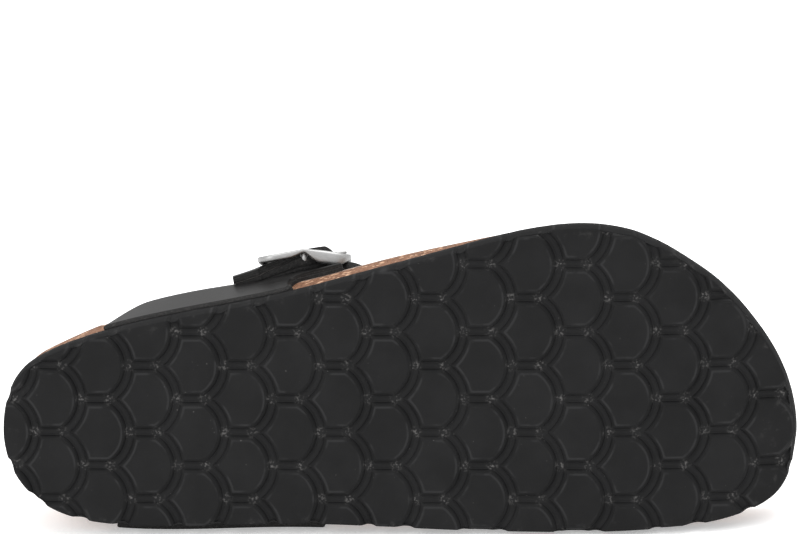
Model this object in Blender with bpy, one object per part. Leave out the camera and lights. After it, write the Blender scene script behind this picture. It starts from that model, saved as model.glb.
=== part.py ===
"""Toe post sandal, a right shoe laid on its medial side.

Shoe frame, in millimetres: x runs from the heel to the toe along the straight medial edge, y points to
the medial side, z rises from the tread plane. One empty turns that frame into the lying pose, in metres.
"""
import functools
import math

import bmesh
import bpy
import numpy as np
from mathutils import Matrix, Vector

MM = 0.001

# Overall sizes
LENGTH = 257.0
MEDIAL_LINE = 50.0
TIP_INSET = 32.0
GAP = 0.3

# Lying pose, found from the three points the shoe rests on
LEAN_DEG = 6.853
ROLL_DEG = 0.302
FLOOR_LIFT = 52.031
POSE_X = -128.38
POSE_Y = -36.897

# Layers of the sole
LUG_DEPTH = 2.4
LUG_ROOT = 0.9
OUTSOLE_TOP = 8.5
EDGE_FLARE = 1.6
OUTSOLE_PROUD = 0.5
FLARE_HEIGHT = 4.2
FIELD_DROP = 1.0
FIELD_MIDDLE = 0.6
FIELD_ROOT_SHARE = 0.6
TOE_SPRING = 11.0
TOE_SPRING_FROM = 188.0
HEEL_RISE = 2.4
HEEL_RISE_TO = 34.0
INSOLE_THICK = 1.5
RIM_SHARE = 0.96
INSOLE_SHARE = 0.90
RIM_ROUND = 0.9
TOP_SHARES = (-0.96, -0.90, -0.82, -0.7, -0.5, -0.25, 0.0, 0.25, 0.5, 0.7, 0.82, 0.90, 0.96)
WALL_POINTS = 3
LEAN_POWER = 3

# Seat of the side strap in the footbed's lateral wall: its depth, the part of it at the rim, and its ends
SEAT_DEPTH = 0.9
SEAT_RIM_SHARE = 0.5
SEAT_FROM = 31.0
SEAT_TO = 93.0
SEAT_RAMP = 2.5
SEAT_STATIONS = (28.5, 31.0, 93.0, 95.5)

# Arched tread blocks in staggered rows
TILE_WIDTH = 22.0
TILE_PITCH = 15.5
TILE_RISE = 6.5
TILE_GROOVE_FOOT = 1.1
TILE_GROOVE_FACE = 1.8
TILE_ARC_STEPS = 5
TILE_HALF_ARC_STEPS = 2
TILES_ACROSS = 9
TREAD_SHIFT_X = 4.2
TREAD_SHIFT_Y = 6.0
CRUMB = 12.0

# Leather
STRAP_THICK = 2.5
SIDE_THICK = 2.3
UPPER_STEPS = 70
UPPER_CROSS_STEPS = 8
SIDE_STEPS = 17
SIDE_CROSS_STEPS = 6

# Toe post
POST_X = 203.0
POST_RADIUS = 3.6
POST_POCKET = 4.5
POST_CUT_HEIGHT = 20.0
POST_SIDES = 20

# Buckle, sizes along and across the strap and above the last
BUCKLE_X = 96.5
BUCKLE_GIRTH = 1.74
BUCKLE_TILT = 4.8
BUCKLE_HALF_LENGTH = 14.0
BUCKLE_HALF_WIDTH = 13.4
BUCKLE_CORNER = 4.0
BUCKLE_WIRE = 1.4
BUCKLE_FRONT_HEIGHT = 5.8
BUCKLE_APEX_HEIGHT = 9.3
BUCKLE_REAR_HEIGHT = 8.7
BUCKLE_ARCH_POWER = 1.2
CORNER_STEPS = 4
SIDE_BAR_STEPS = 5
BAR_RADIUS = 1.2
BAR_HEIGHT = 3.4
BAR_HALF_STRAIGHT = 10.2
BAR_BEND_OUT = 1.2
BAR_BEND_UP = 1.4
BAR_SINK = 0.4
BORE_OVERSHOOT = 2.0
FOLD_INNER = 2.4
FOLD_LAP = 0.6
FOLD_OUTER = 9.3
FOLD_REAR = -22.0
FOLD_FRONT = 9.4
FOLD_FOOT = 1.2
FOLD_CLEAR = 0.4
FOLD_STEPS = 13
NOTCH_REAR = -4.6
NOTCH_FRONT = 11.0
NOTCH_LOW = -3.0
NOTCH_HIGH = 9.0
PRONG_WIRE = 0.9
PRONG_SIDES = 16
PRONG_LEAVE = 0.7
PRONG_OVERHANG = -0.2
PRONG_BOW = 0.4
PRONG_HOLE_CLEAR = 0.4

# Flat form the straps keep under the buckle: full up to the first distance, gone at the second
FLAT_RADIUS = 75.0
FLAT_SHARE = 0.85
FLAT_AHEAD = (13.0, 24.0)
FLAT_BEHIND = (12.0, 28.0)
FLAT_BACK_SIDE = (11.0, 40.0)
FLAT_FRONT_SIDE = (11.0, 18.0)
FLAT_SINK = (3.0, 30.0)

# Sections of the last and the sole
STATIONS = 30
WALL_PULL = 0.8
SIDE_TURN = 0.2
SPINE_FROM = 30.0
SPINE_TO = 222.0

# Distances within which points are one, by kind of shape
MERGE_LOFT = 0.01
MERGE_WIRE = 0.005
MERGE_TREAD = 0.03
MERGE_BED = 0.005
MERGE_STRAP = 0.01

# Steps of the slope measured on the last, and of the search for a place on it
SLOPE_STEP = 0.5
SLOPE_NUDGE = 0.02
SEARCH_NUDGE = 0.01
SEARCH_ROUNDS = 12
SEARCH_SHARE = 0.7

# Outline of the sole: inset of each edge from the straight medial line, by station along the length
SOLE_ROWS = (
    dict(x=6.0, medial=15.0, lateral=51.8),
    dict(x=14.0, medial=8.2, lateral=57.6),
    dict(x=26.0, medial=3.8, lateral=62.6),
    dict(x=42.0, medial=2.0, lateral=67.2),
    dict(x=64.0, medial=1.9, lateral=71.8),
    dict(x=92.0, medial=2.6, lateral=77.4),
    dict(x=118.0, medial=2.0, lateral=84.2),
    dict(x=144.0, medial=0.8, lateral=91.2),
    dict(x=168.0, medial=0.2, lateral=97.4),
    dict(x=188.0, medial=0.1, lateral=99.8),
    dict(x=206.0, medial=0.6, lateral=97.0),
    dict(x=220.0, medial=1.5, lateral=89.7),
    dict(x=233.0, medial=3.4, lateral=79.8),
    dict(x=244.0, medial=6.9, lateral=67.0),
    dict(x=252.0, medial=12.8, lateral=53.4),
)

# Footbed: height of its floor and rims, how far the walls lean, and how round the cup is
FOOTBED_ROWS = (
    dict(x=0.0, floor=21.5, medial_rim=33.0, lateral_rim=33.0, medial_lean=0.0, lateral_lean=0.0, cup=3.0),
    dict(x=30.0, floor=20.0, medial_rim=33.0, lateral_rim=32.0, medial_lean=2.2, lateral_lean=-0.6, cup=2.8),
    dict(x=60.0, floor=20.5, medial_rim=34.0, lateral_rim=30.5, medial_lean=3.2, lateral_lean=0.7, cup=2.6),
    dict(x=95.0, floor=21.5, medial_rim=36.0, lateral_rim=28.0, medial_lean=3.4, lateral_lean=-0.2, cup=2.4),
    dict(x=130.0, floor=20.0, medial_rim=31.0, lateral_rim=25.0, medial_lean=3.0, lateral_lean=0.0, cup=2.8),
    dict(x=165.0, floor=17.5, medial_rim=24.0, lateral_rim=22.0, medial_lean=2.3, lateral_lean=-1.7, cup=4.5),
    dict(x=200.0, floor=16.5, medial_rim=21.5, lateral_rim=21.0, medial_lean=2.0, lateral_lean=-2.3, cup=6.0),
    dict(x=235.0, floor=16.5, medial_rim=21.5, lateral_rim=21.0, medial_lean=1.0, lateral_lean=-2.0, cup=6.0),
    dict(x=257.0, floor=16.8, medial_rim=21.8, lateral_rim=21.8, medial_lean=0.0, lateral_lean=0.0, cup=5.0),
)

# Soft rises on the footbed: toe bar and metatarsal pad
RISE_ROWS = (
    dict(x=214.0, y=2.0, reach_x=9.0, reach_y=30.0, height=2.6),
    dict(x=148.0, y=0.0, reach_x=16.0, reach_y=13.0, height=2.8),
)

# The last above the rims: widest points of both sides and the top of the instep
LAST_ROWS = (
    dict(x=20.0, lateral_out=-5.2, lateral_z=46.0, top_y=14.0, top_z=98.0, medial_out=-6.5, medial_z=50.0),
    dict(x=60.0, lateral_out=-2.8, lateral_z=49.0, top_y=14.0, top_z=93.0, medial_out=-5.0, medial_z=51.0),
    dict(x=80.0, lateral_out=-2.7, lateral_z=50.12, top_y=13.12, top_z=88.9, medial_out=-5.09, medial_z=53.49),
    dict(x=100.0, lateral_out=-3.8, lateral_z=50.0, top_y=12.0, top_z=83.0, medial_out=-6.0, medial_z=54.0),
    dict(x=114.0, lateral_out=-6.6, lateral_z=48.7, top_y=11.37, top_z=77.57, medial_out=-7.17, medial_z=51.41),
    dict(x=130.0, lateral_out=-10.2, lateral_z=46.0, top_y=11.0, top_z=70.0, medial_out=-9.0, medial_z=47.0),
    dict(x=160.0, lateral_out=-14.5, lateral_z=38.0, top_y=11.5, top_z=53.0, medial_out=-14.0, medial_z=39.0),
    dict(x=185.0, lateral_out=-22.6, lateral_z=30.0, top_y=13.0, top_z=40.0, medial_out=-20.0, medial_z=31.0),
    dict(x=203.0, lateral_out=-30.0, lateral_z=27.0, top_y=15.0, top_z=34.5, medial_out=-24.0, medial_z=28.5),
    dict(x=220.0, lateral_out=-34.0, lateral_z=27.0, top_y=15.5, top_z=33.5, medial_out=-26.0, medial_z=28.0),
)

# Upper, section by section from the medial base over the instep to the free end of the strap.
# The girth places are 6 medial base, 5 medial rim, 4 medial side, 3 top, 2 lateral side, 1 lateral rim.
UPPER_ROWS = (
    dict(place="medial base", back_x=36.0, back_g=6.0, front_x=104.0, front_g=6.0),
    dict(place="medial rim", back_x=44.0, back_g=5.0, front_x=109.0, front_g=5.0),
    dict(place="medial side", back_x=66.0, back_g=4.2, front_x=124.0, front_g=4.25),
    dict(place="medial instep", back_x=92.0, back_g=3.62, front_x=146.0, front_g=3.72),
    dict(place="tongue medial", back_x=104.0, back_g=3.34, front_x=170.0, front_g=3.42),
    dict(place="tongue medial edge", back_x=108.0, back_g=3.2, front_x=194.0, front_g=3.26),
    dict(place="tip medial corner", back_x=110.0, back_g=3.09, front_x=208.0, front_g=3.17),
    dict(place="tip lateral corner", back_x=111.0, back_g=2.97, front_x=208.0, front_g=2.87),
    dict(place="tongue lateral edge", back_x=111.0, back_g=2.86, front_x=192.0, front_g=2.75),
    dict(place="tongue lateral", back_x=110.0, back_g=2.7, front_x=164.0, front_g=2.6),
    dict(place="lateral instep", back_x=110.0, back_g=2.5, front_x=136.0, front_g=2.3),
    dict(place="lateral turn", back_x=111.0, back_g=2.32, front_x=122.5, front_g=1.9),
)

# Buckled end of the upper, by the place of its two edges along and across the strap from the buckle bar,
# and its height above the last
BILLET_ROWS = (
    dict(place="before the buckle", back=17.0, back_half=11.0, front=17.0, front_half=11.8, lift=0.3),
    dict(place="front of the frame", back=12.0, back_half=10.7, front=12.0, front_half=11.5, lift=0.3),
    dict(place="crest", back=7.8, back_half=10.5, front=7.8, front_half=10.5, lift=7.3),
    dict(place="over the bar", back=-1.0, back_half=10.5, front=-1.0, front_half=10.5, lift=7.1),
    dict(place="rear of the frame", back=-9.0, back_half=10.4, front=-9.0, front_half=10.4, lift=5.3),
    dict(place="behind the buckle", back=-16.5, back_half=10.3, front=-16.5, front_half=10.3, lift=4.0),
    dict(place="free end", back=-24.0, back_half=10.2, front=-24.0, front_half=10.2, lift=2.9),
)

# Side strap, section by section from the lateral base up to the buckle bar
SIDE_ROWS = (
    dict(place="base", back_x=33.5, back_g=0.0, front_x=93.0, front_g=0.0),
    dict(place="rim", back_x=41.0, back_g=0.9, front_x=94.0, front_g=0.82),
    dict(place="lip", back_x=49.0, back_g=1.2, front_x=103.0, front_g=0.91),
    dict(place="side", back_x=57.0, back_g=1.4, front_x=110.0, front_g=0.95),
)

# Buckle end of the side strap, by the place of its two edges along and across the strap from the bar
SIDE_TIP_ROWS = (
    dict(place="below the bar", back=-15.0, back_half=10.9, front=10.0, front_half=14.2),
    dict(place="near the bar", back=-7.0, back_half=10.5, front=9.4, front_half=12.0),
    dict(place="bar", back=0.5, back_half=10.3, front=8.6, front_half=10.6),
)

# Plain finishes: base colour, roughness, metallic
FINISHES = {
    "black_foam": ((0.026, 0.026, 0.027, 1.0), 0.62, 0.0),
    "cork": ((0.36, 0.19, 0.10, 1.0), 0.85, 0.0),
    "suede": ((0.42, 0.31, 0.21, 1.0), 0.9, 0.0),
    "black_leather": ((0.022, 0.021, 0.021, 1.0), 0.42, 0.0),
    "satin_steel": ((0.72, 0.72, 0.70, 1.0), 0.3, 1.0),
}


def column(rows, name):
    """One named column of a table as an array."""
    return np.array([row[name] for row in rows], dtype=float)


def spline(knots, values, where):
    """Natural cubic spline through a short table."""
    knots = np.asarray(knots, dtype=float)
    values = np.asarray(values, dtype=float)
    count = len(knots)
    steps = np.diff(knots)
    system_rows = np.zeros((count, count))
    right = np.zeros(count)
    system_rows[0, 0] = 1.0
    system_rows[-1, -1] = 1.0
    for i in range(1, count - 1):
        system_rows[i, i - 1] = steps[i - 1]
        system_rows[i, i] = 2.0 * (steps[i - 1] + steps[i])
        system_rows[i, i + 1] = steps[i]
        rise = (values[i + 1] - values[i]) / steps[i] - (values[i] - values[i - 1]) / steps[i - 1]
        right[i] = 6.0 * rise
    curve = np.linalg.solve(system_rows, right)
    where = np.clip(np.asarray(where, dtype=float), knots[0], knots[-1])
    seat = np.clip(np.searchsorted(knots, where) - 1, 0, count - 2)
    step = steps[seat]
    ahead = (knots[seat + 1] - where) / step
    behind = (where - knots[seat]) / step
    bend = ((ahead ** 3 - ahead) * curve[seat] + (behind ** 3 - behind) * curve[seat + 1]) * step ** 2 / 6.0
    return ahead * values[seat] + behind * values[seat + 1] + bend


def table(rows, name, x, key="x"):
    """Value of a table's column at x."""
    return float(spline(column(rows, key), column(rows, name), x))


def turn_of(x):
    """Angle that runs from the heel tip to the toe tip, so that both ends come out round."""
    return math.acos(max(-1.0, min(1.0, 1.0 - 2.0 * x / LENGTH)))


def edge_y(side, x):
    """Place of the medial or lateral edge of the sole at station x."""
    turns = [0.0] + [turn_of(row["x"]) for row in SOLE_ROWS] + [math.pi]
    insets = [TIP_INSET] + [row[side] for row in SOLE_ROWS] + [TIP_INSET]
    return MEDIAL_LINE - float(spline(turns, insets, turn_of(x)))


def spring(x):
    """Rise of the whole sole at the toe and the heel."""
    toe = max(0.0, (x - TOE_SPRING_FROM) / (LENGTH - TOE_SPRING_FROM))
    heel = max(0.0, (HEEL_RISE_TO - x) / HEEL_RISE_TO)
    return TOE_SPRING * toe * toe + HEEL_RISE * heel * heel


def footbed_z(x, y, share, edge_x, side):
    """Height of the footbed's top, share being the part of the way out to the edge."""
    floor = table(FOOTBED_ROWS, "floor", x)
    rim = table(FOOTBED_ROWS, side + "_rim", edge_x)
    cup = table(FOOTBED_ROWS, "cup", x)
    height = floor + (rim - floor) * min(1.0, share / RIM_SHARE) ** cup
    for rise in RISE_ROWS:
        away = ((x - rise["x"]) / rise["reach_x"]) ** 2 + ((y - rise["y"]) / rise["reach_y"]) ** 2
        height += rise["height"] * math.exp(-away) * (1.0 - share ** 4)
    return height


def stations():
    """Stations along the length, closer together at the two ends."""
    return [LENGTH * 0.5 * (1.0 - math.cos(math.pi * i / STATIONS)) for i in range(STATIONS + 1)]


def bed_stations():
    """Stations of the footbed, with those at the ends of the strap's seat."""
    kept = [x for x in stations() if min(abs(x - end) for end in SEAT_STATIONS) > SEAT_RAMP]
    return sorted(kept + list(SEAT_STATIONS))


def fade(distance, full, none):
    """One up to the full distance, falling softly to nought."""
    share = min(max((none - distance) / (none - full), 0.0), 1.0)
    return share * share * (3.0 - 2.0 * share)


def seat_depth(side, x):
    """How far the footbed's wall is set back under the side strap, towards the medial side."""
    if side == "medial":
        return 0.0
    return SEAT_DEPTH * fade(SEAT_FROM - x, 0.0, SEAT_RAMP) * fade(x - SEAT_TO, 0.0, SEAT_RAMP)


def spine_point(x):
    """Middle of the sole, held back from both tips."""
    held = min(max(x, SPINE_FROM), SPINE_TO)
    return held, 0.5 * (edge_y("medial", held) + edge_y("lateral", held))


def across(x, share, inset=0.0):
    """Point of the plan at a signed share of the way out, negative on the lateral side."""
    middle_x, middle_y = spine_point(x)
    side = "medial" if share >= 0.0 else "lateral"
    out_x = x - middle_x
    out_y = edge_y(side, x) - middle_y
    reach = math.hypot(out_x, out_y)
    share_in = abs(share) * (reach - inset) / reach
    return middle_x + out_x * share_in, middle_y + out_y * share_in


def mesh_object(name, points, faces, collection):
    """Closed mesh object from points in millimetres."""
    mesh = bpy.data.meshes.new(name)
    mesh.from_pydata([Vector(point) * MM for point in points], [], faces)
    shape = bmesh.new()
    shape.from_mesh(mesh)
    bmesh.ops.remove_doubles(shape, verts=shape.verts, dist=MERGE_LOFT * MM)
    bmesh.ops.dissolve_degenerate(shape, edges=shape.edges, dist=MERGE_LOFT * MM)
    bmesh.ops.recalc_face_normals(shape, faces=shape.faces)
    shape.to_mesh(mesh)
    shape.free()
    thing = bpy.data.objects.new(name, mesh)
    collection.objects.link(thing)
    return thing


def loft(name, rings, collection, capped):
    """Skin over closed rings of equal count."""
    count = len(rings[0])
    points = [point for ring in rings for point in ring]
    faces = []
    for i in range(len(rings) - 1):
        for j in range(count):
            k = (j + 1) % count
            faces.append((i * count + j, i * count + k, (i + 1) * count + k, (i + 1) * count + j))
    if capped:
        faces.append(tuple(range(count)))
        faces.append(tuple((len(rings) - 1) * count + j for j in range(count)))
    return mesh_object(name, points, faces, collection)


def sole_layer(name, low, high, inset_low, inset_mid, mid, collection):
    """Flat layer of the sole with a side in two steps, not yet sprung."""
    shares = (-1.0, 0.0, 1.0)
    rings = []
    for x in stations():
        ring = [(*across(x, share, inset_mid), high) for share in shares]
        ring.append((*across(x, 1.0, inset_mid), mid))
        ring.extend((*across(x, share, inset_low), low) for share in reversed(shares))
        ring.append((*across(x, -1.0, inset_mid), mid))
        rings.append(ring)
    return loft(name, rings, collection, False)


def tile_outline(groove):
    """Arched block with a round head and two hollow shoulders, groove being its inset."""
    half = TILE_WIDTH * 0.5
    radius = (half * half + TILE_RISE * TILE_RISE) / (2.0 * TILE_RISE)
    drop = radius - TILE_RISE
    head = radius - groove
    side = half - groove
    reach = math.asin(side / head)
    points = []
    for i in range(TILE_ARC_STEPS + 1):
        angle = -reach + 2.0 * reach * i / TILE_ARC_STEPS
        points.append((head * math.sin(angle), TILE_PITCH - drop + head * math.cos(angle)))
    shoulder = radius + groove
    tip = math.asin(half / shoulder)
    start = math.asin(groove / shoulder)
    for sign in (1.0, -1.0):
        arc = []
        for i in range(TILE_HALF_ARC_STEPS + 1):
            angle = start + (tip - start) * i / TILE_HALF_ARC_STEPS
            arc.append((sign * (half - shoulder * math.sin(angle)), -drop + shoulder * math.cos(angle)))
        points.extend(arc if sign > 0.0 else list(reversed(arc))[1:])
    return points


def tread_tiles(collection):
    """All tread blocks as tapered prisms, rows across the sole and heads towards the toe."""
    face = tile_outline(TILE_GROOVE_FACE)
    foot = tile_outline(TILE_GROOVE_FOOT)
    root = LUG_DEPTH + LUG_ROOT
    points = []
    faces = []
    row = 0
    row_x = TREAD_SHIFT_X - 2.0 * TILE_PITCH
    while row_x < LENGTH:
        stagger = 0.5 * TILE_WIDTH * (row % 2)
        for step in range(TILES_ACROSS):
            middle = TREAD_SHIFT_Y + stagger + (step - TILES_ACROSS // 2) * TILE_WIDTH
            base = len(points)
            points.extend((row_x + along, middle + aside, 0.0) for aside, along in face)
            points.extend((row_x + along, middle + aside, root) for aside, along in foot)
            count = len(face)
            faces.append(tuple(base + i for i in range(count)))
            faces.append(tuple(base + count + i for i in reversed(range(count))))
            for i in range(count):
                k = (i + 1) % count
                faces.append((base + i, base + count + i, base + count + k, base + k))
        row += 1
        row_x += TILE_PITCH
    return mesh_object("tread_tiles", points, faces, collection)


def boolean(thing, other, operation, solver="EXACT"):
    """Boolean on a piece."""
    step = thing.modifiers.new(operation.lower(), "BOOLEAN")
    step.operation = operation
    step.solver = solver
    step.object = other


def settle(thing):
    """Replace a piece's mesh by what its modifiers make of it."""
    graph = bpy.context.evaluated_depsgraph_get()
    graph.update()
    made = bpy.data.meshes.new_from_object(thing.evaluated_get(graph))
    thing.modifiers.clear()
    thing.data = made


def tidy_mesh(thing, merge):
    """Merge stray points, drop slivers and cut all faces to triangles."""
    shape = bmesh.new()
    shape.from_mesh(thing.data)
    bmesh.ops.remove_doubles(shape, verts=shape.verts, dist=merge * MM)
    bmesh.ops.dissolve_degenerate(shape, edges=shape.edges, dist=merge * MM)
    bmesh.ops.triangulate(shape, faces=shape.faces)
    bmesh.ops.recalc_face_normals(shape, faces=shape.faces)
    shape.to_mesh(thing.data)
    shape.free()


def drop_crumbs(thing, least):
    """Delete loose bodies smaller than least, in cubic millimetres."""
    shape = bmesh.new()
    shape.from_mesh(thing.data)
    waiting = set(shape.faces)
    crumbs = []
    while waiting:
        body = [waiting.pop()]
        volume = 0.0
        for face in body:
            corners = [corner.co for corner in face.verts]
            for i in range(1, len(corners) - 1):
                volume += corners[0].dot(corners[i].cross(corners[i + 1])) / 6.0
            for edge in face.edges:
                for other in edge.link_faces:
                    if other in waiting:
                        waiting.remove(other)
                        body.append(other)
        if abs(volume) < least * MM ** 3:
            crumbs.extend(body)
    lone = {corner for face in crumbs for corner in face.verts}
    bmesh.ops.delete(shape, geom=list(lone), context="VERTS")
    shape.to_mesh(thing.data)
    shape.free()


def spring_points(thing):
    """Bend a flat layer up at the toe and the heel."""
    for point in thing.data.vertices:
        point.co.z += spring(point.co.x / MM) * MM


def build_outsole(parts, cutters):
    """Black sole: a slab with a flared side and separate tread blocks under it."""
    foot_inset = EDGE_FLARE * 0.5
    slab = sole_layer("outsole", LUG_DEPTH, OUTSOLE_TOP, foot_inset, -OUTSOLE_PROUD, FLARE_HEIGHT, parts)
    field_top = LUG_DEPTH + LUG_ROOT * FIELD_ROOT_SHARE
    field = sole_layer("tread_field", -FIELD_DROP, field_top, EDGE_FLARE, EDGE_FLARE, FIELD_MIDDLE, cutters)
    tiles = tread_tiles(cutters)
    boolean(tiles, field, "INTERSECT")
    settle(tiles)
    drop_crumbs(tiles, CRUMB)
    boolean(slab, tiles, "UNION", "MANIFOLD")
    settle(slab)
    drop_crumbs(slab, CRUMB)
    tidy_mesh(slab, MERGE_TREAD)
    spring_points(slab)
    return slab


def footbed_ring(x):
    """Closed section of the footbed at one station."""
    base_z = OUTSOLE_TOP + GAP
    sides = {}
    for side, sign in (("lateral", -1.0), ("medial", 1.0)):
        lean = table(FOOTBED_ROWS, side + "_lean", x)
        rim = table(FOOTBED_ROWS, side + "_rim", x)
        seat = seat_depth(side, x)
        out_x, out_y = across(x, sign)
        rim_y = out_y - lean + seat * SEAT_RIM_SHARE
        out_y += seat
        sides[side] = ((out_x, out_y, base_z), (out_x, 0.5 * (out_y + rim_y), 0.5 * (base_z + rim)),
                       (out_x, rim_y, rim - RIM_ROUND))
    top = []
    for share in TOP_SHARES:
        point_x, point_y = across(x, share)
        side = "medial" if share >= 0.0 else "lateral"
        lean = table(FOOTBED_ROWS, side + "_lean", x) - seat_depth(side, x) * SEAT_RIM_SHARE
        point_y -= lean * abs(share) ** LEAN_POWER
        top.append((point_x, point_y, footbed_z(point_x, point_y, abs(share), x, side)))
    ring = list(sides["lateral"]) + top + list(reversed(sides["medial"]))
    ring.append((*spine_point(x), base_z))
    return ring


def sprung(rings):
    """Rings with the rise of the toe and the heel."""
    return [[(x, y, z + spring(x)) for x, y, z in ring] for ring in rings]


def build_footbed(parts, post_cutter):
    """Cork footbed with heel cup, arch, toe bar and raised rim."""
    footbed = loft("footbed", sprung([footbed_ring(x) for x in bed_stations()]), parts, False)
    boolean(footbed, post_cutter, "DIFFERENCE")
    settle(footbed)
    tidy_mesh(footbed, MERGE_BED)
    return footbed


def build_insole(parts, post_cutter):
    """Thin lining that follows the footbed's top inside the rim."""
    rings = []
    for x in bed_stations():
        top = footbed_ring(x)[WALL_POINTS:WALL_POINTS + len(TOP_SHARES)]
        inner = [point for point, share in zip(top, TOP_SHARES) if abs(share) <= INSOLE_SHARE]
        ring = [(px, py, pz + GAP + INSOLE_THICK) for px, py, pz in inner]
        ring.extend((px, py, pz + GAP) for px, py, pz in reversed(inner))
        rings.append(ring)
    insole = loft("insole", sprung(rings), parts, False)
    boolean(insole, post_cutter, "DIFFERENCE")
    settle(insole)
    tidy_mesh(insole, MERGE_BED)
    return insole


def last_keys(x):
    """Seven points of the last's section, from the lateral base over the top to the medial base."""
    keys = []
    for side, sign in (("lateral", -1.0), ("medial", 1.0)):
        edge = edge_y(side, x)
        lean = table(FOOTBED_ROWS, side + "_lean", x)
        rim = table(FOOTBED_ROWS, side + "_rim", x)
        out = table(LAST_ROWS, side + "_out", x)
        wide_z = table(LAST_ROWS, side + "_z", x)
        seat = seat_depth(side, x)
        keys.append([(edge + seat, OUTSOLE_TOP + GAP), (edge - lean + seat * SEAT_RIM_SHARE, rim),
                     (edge + sign * out, wide_z)])
    top = (table(LAST_ROWS, "top_y", x), table(LAST_ROWS, "top_z", x))
    return np.array(keys[0] + [top] + list(reversed(keys[1])))


def last_slope(keys, seat):
    """Direction of the section at a key point: along the wall at a rim, upright where it is widest."""
    if seat == 1:
        return (keys[1] - keys[0]) * WALL_PULL
    if seat == 5:
        return (keys[6] - keys[5]) * WALL_PULL
    slope = (keys[seat + 1] - keys[seat - 1]) * 0.5
    if seat in (2, 4):
        slope[0] *= SIDE_TURN
    return slope


def last_point(x, girth):
    """Point of the last at station x and girth place 0 to 6."""
    keys = last_keys(x)
    girth = min(max(girth, 0.0), 6.0)
    seat = min(int(girth), 5)
    part = girth - seat
    start = keys[seat]
    end = keys[seat + 1]
    if seat in (0, 5):
        y, z = start + (end - start) * part
    else:
        leave = last_slope(keys, seat)
        reach = last_slope(keys, seat + 1)
        square = part * part
        cube = square * part
        y, z = ((2 * cube - 3 * square + 1) * start + (cube - 2 * square + part) * leave
                + (3 * square - 2 * cube) * end + (cube - square) * reach)
    return Vector((x, y, z + spring(x)))


def normal_of(surface, x, girth):
    """Outward normal of the last or of the form the straps take on it."""
    low = max(girth - SLOPE_NUDGE, 0.0)
    high = min(girth + SLOPE_NUDGE, 6.0)
    along = surface(x + SLOPE_STEP, girth) - surface(x - SLOPE_STEP, girth)
    around = surface(x, high) - surface(x, low)
    return along.cross(around).normalized()


def strap_point(x, girth):
    """Form the straps take: the last, held flat across under the buckle as stiff leather is."""
    point = last_point(x, girth)
    centre, forward, sideways, outward = buckle_axes()
    away = point - centre
    along = away.dot(forward)
    aside = away.dot(sideways)
    wanted = -along * along / (2.0 * FLAT_RADIUS)
    low = max(wanted - away.dot(outward), 0.0)
    ahead = fade(along, *FLAT_AHEAD) if along > 0.0 else fade(-along, *FLAT_BEHIND)
    beside = fade(aside, *FLAT_BACK_SIDE) if aside > 0.0 else fade(-aside, *FLAT_FRONT_SIDE)
    near = fade(low, *FLAT_SINK)
    return point + outward * (low * FLAT_SHARE * ahead * beside * near)


def strap_rows(rows, steps):
    """Edges of a strap at even steps through its table."""
    places = np.arange(len(rows), dtype=float)
    where = np.linspace(0.0, len(rows) - 1.0, steps)
    names = ("back_x", "back_g", "front_x", "front_g")
    return where, np.stack([spline(places, column(rows, name), where) for name in names], axis=1)


def strap_sheet(name, rows, steps, cross_steps, lift, thick, parts):
    """Strap of even thickness wrapped on the last."""
    where, edges = strap_rows(rows, steps)
    inner = []
    outer = []
    for place, (back_x, back_g, front_x, front_g) in zip(where, edges):
        for i in range(cross_steps + 1):
            part = i / cross_steps
            x = back_x + (front_x - back_x) * part
            girth = back_g + (front_g - back_g) * part
            normal = normal_of(strap_point, x, girth)
            ground = strap_point(x, girth)
            inner.append(ground + normal * lift(place, part))
            outer.append(ground + normal * (lift(place, part) + thick))
    count = cross_steps + 1
    shift = len(inner)
    faces = []
    for i in range(steps - 1):
        for j in range(cross_steps):
            a, b, c, d = i * count + j, i * count + j + 1, (i + 1) * count + j + 1, (i + 1) * count + j
            faces.append((a, b, c, d))
            faces.append((shift + d, shift + c, shift + b, shift + a))
    border = list(range(count))
    border += [i * count + cross_steps for i in range(1, steps)]
    border += [(steps - 1) * count + j for j in reversed(range(cross_steps))]
    border += [i * count for i in reversed(range(1, steps - 1))]
    for a, b in zip(border, border[1:] + border[:1]):
        faces.append((a, b, shift + b, shift + a))
    return mesh_object(name, inner + outer, faces, parts)


@functools.lru_cache(maxsize=1)
def buckle_axes():
    """Centre of the buckle on the last, with directions along the strap, across it and outwards."""
    centre = last_point(BUCKLE_X, BUCKLE_GIRTH)
    outward = normal_of(last_point, BUCKLE_X, BUCKLE_GIRTH)
    tilt = math.radians(BUCKLE_TILT)
    along = Vector((math.cos(tilt), 0.0, math.sin(tilt)))
    along = (along - outward * along.dot(outward)).normalized()
    return centre, along, outward.cross(along).normalized(), outward


def on_last(along, aside):
    """Station and girth place of a point given along and across the strap from the buckle."""
    centre, forward, sideways, _ = buckle_axes()
    place = np.array([BUCKLE_X + forward.x * along + sideways.x * aside, BUCKLE_GIRTH])
    steps = (np.array([SLOPE_STEP, 0.0]), np.array([0.0, SEARCH_NUDGE]))
    wanted = np.array([along, aside])

    def seen(where):
        away = last_point(*where) - centre
        return np.array([away.dot(forward), away.dot(sideways)])

    for _ in range(SEARCH_ROUNDS):
        here = seen(place)
        slopes = np.stack([(seen(place + step) - here) / step.sum() for step in steps], axis=1)
        place = place + SEARCH_SHARE * np.linalg.solve(slopes, wanted - here)
    return place


def strap_table(rows, tip_rows):
    """Rows of a strap with its buckle end added."""
    whole = list(rows)
    for row in tip_rows:
        back = on_last(row["back"], row["back_half"])
        front = on_last(row["front"], -row["front_half"])
        whole.append(dict(place=row["place"], back_x=back[0], back_g=back[1],
                          front_x=front[0], front_g=front[1]))
    return whole


def at_buckle(along, aside, height):
    """Point given along and across the strap and above the last at the buckle."""
    centre, forward, sideways, outward = buckle_axes()
    return centre + forward * along + sideways * aside + outward * height


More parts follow.
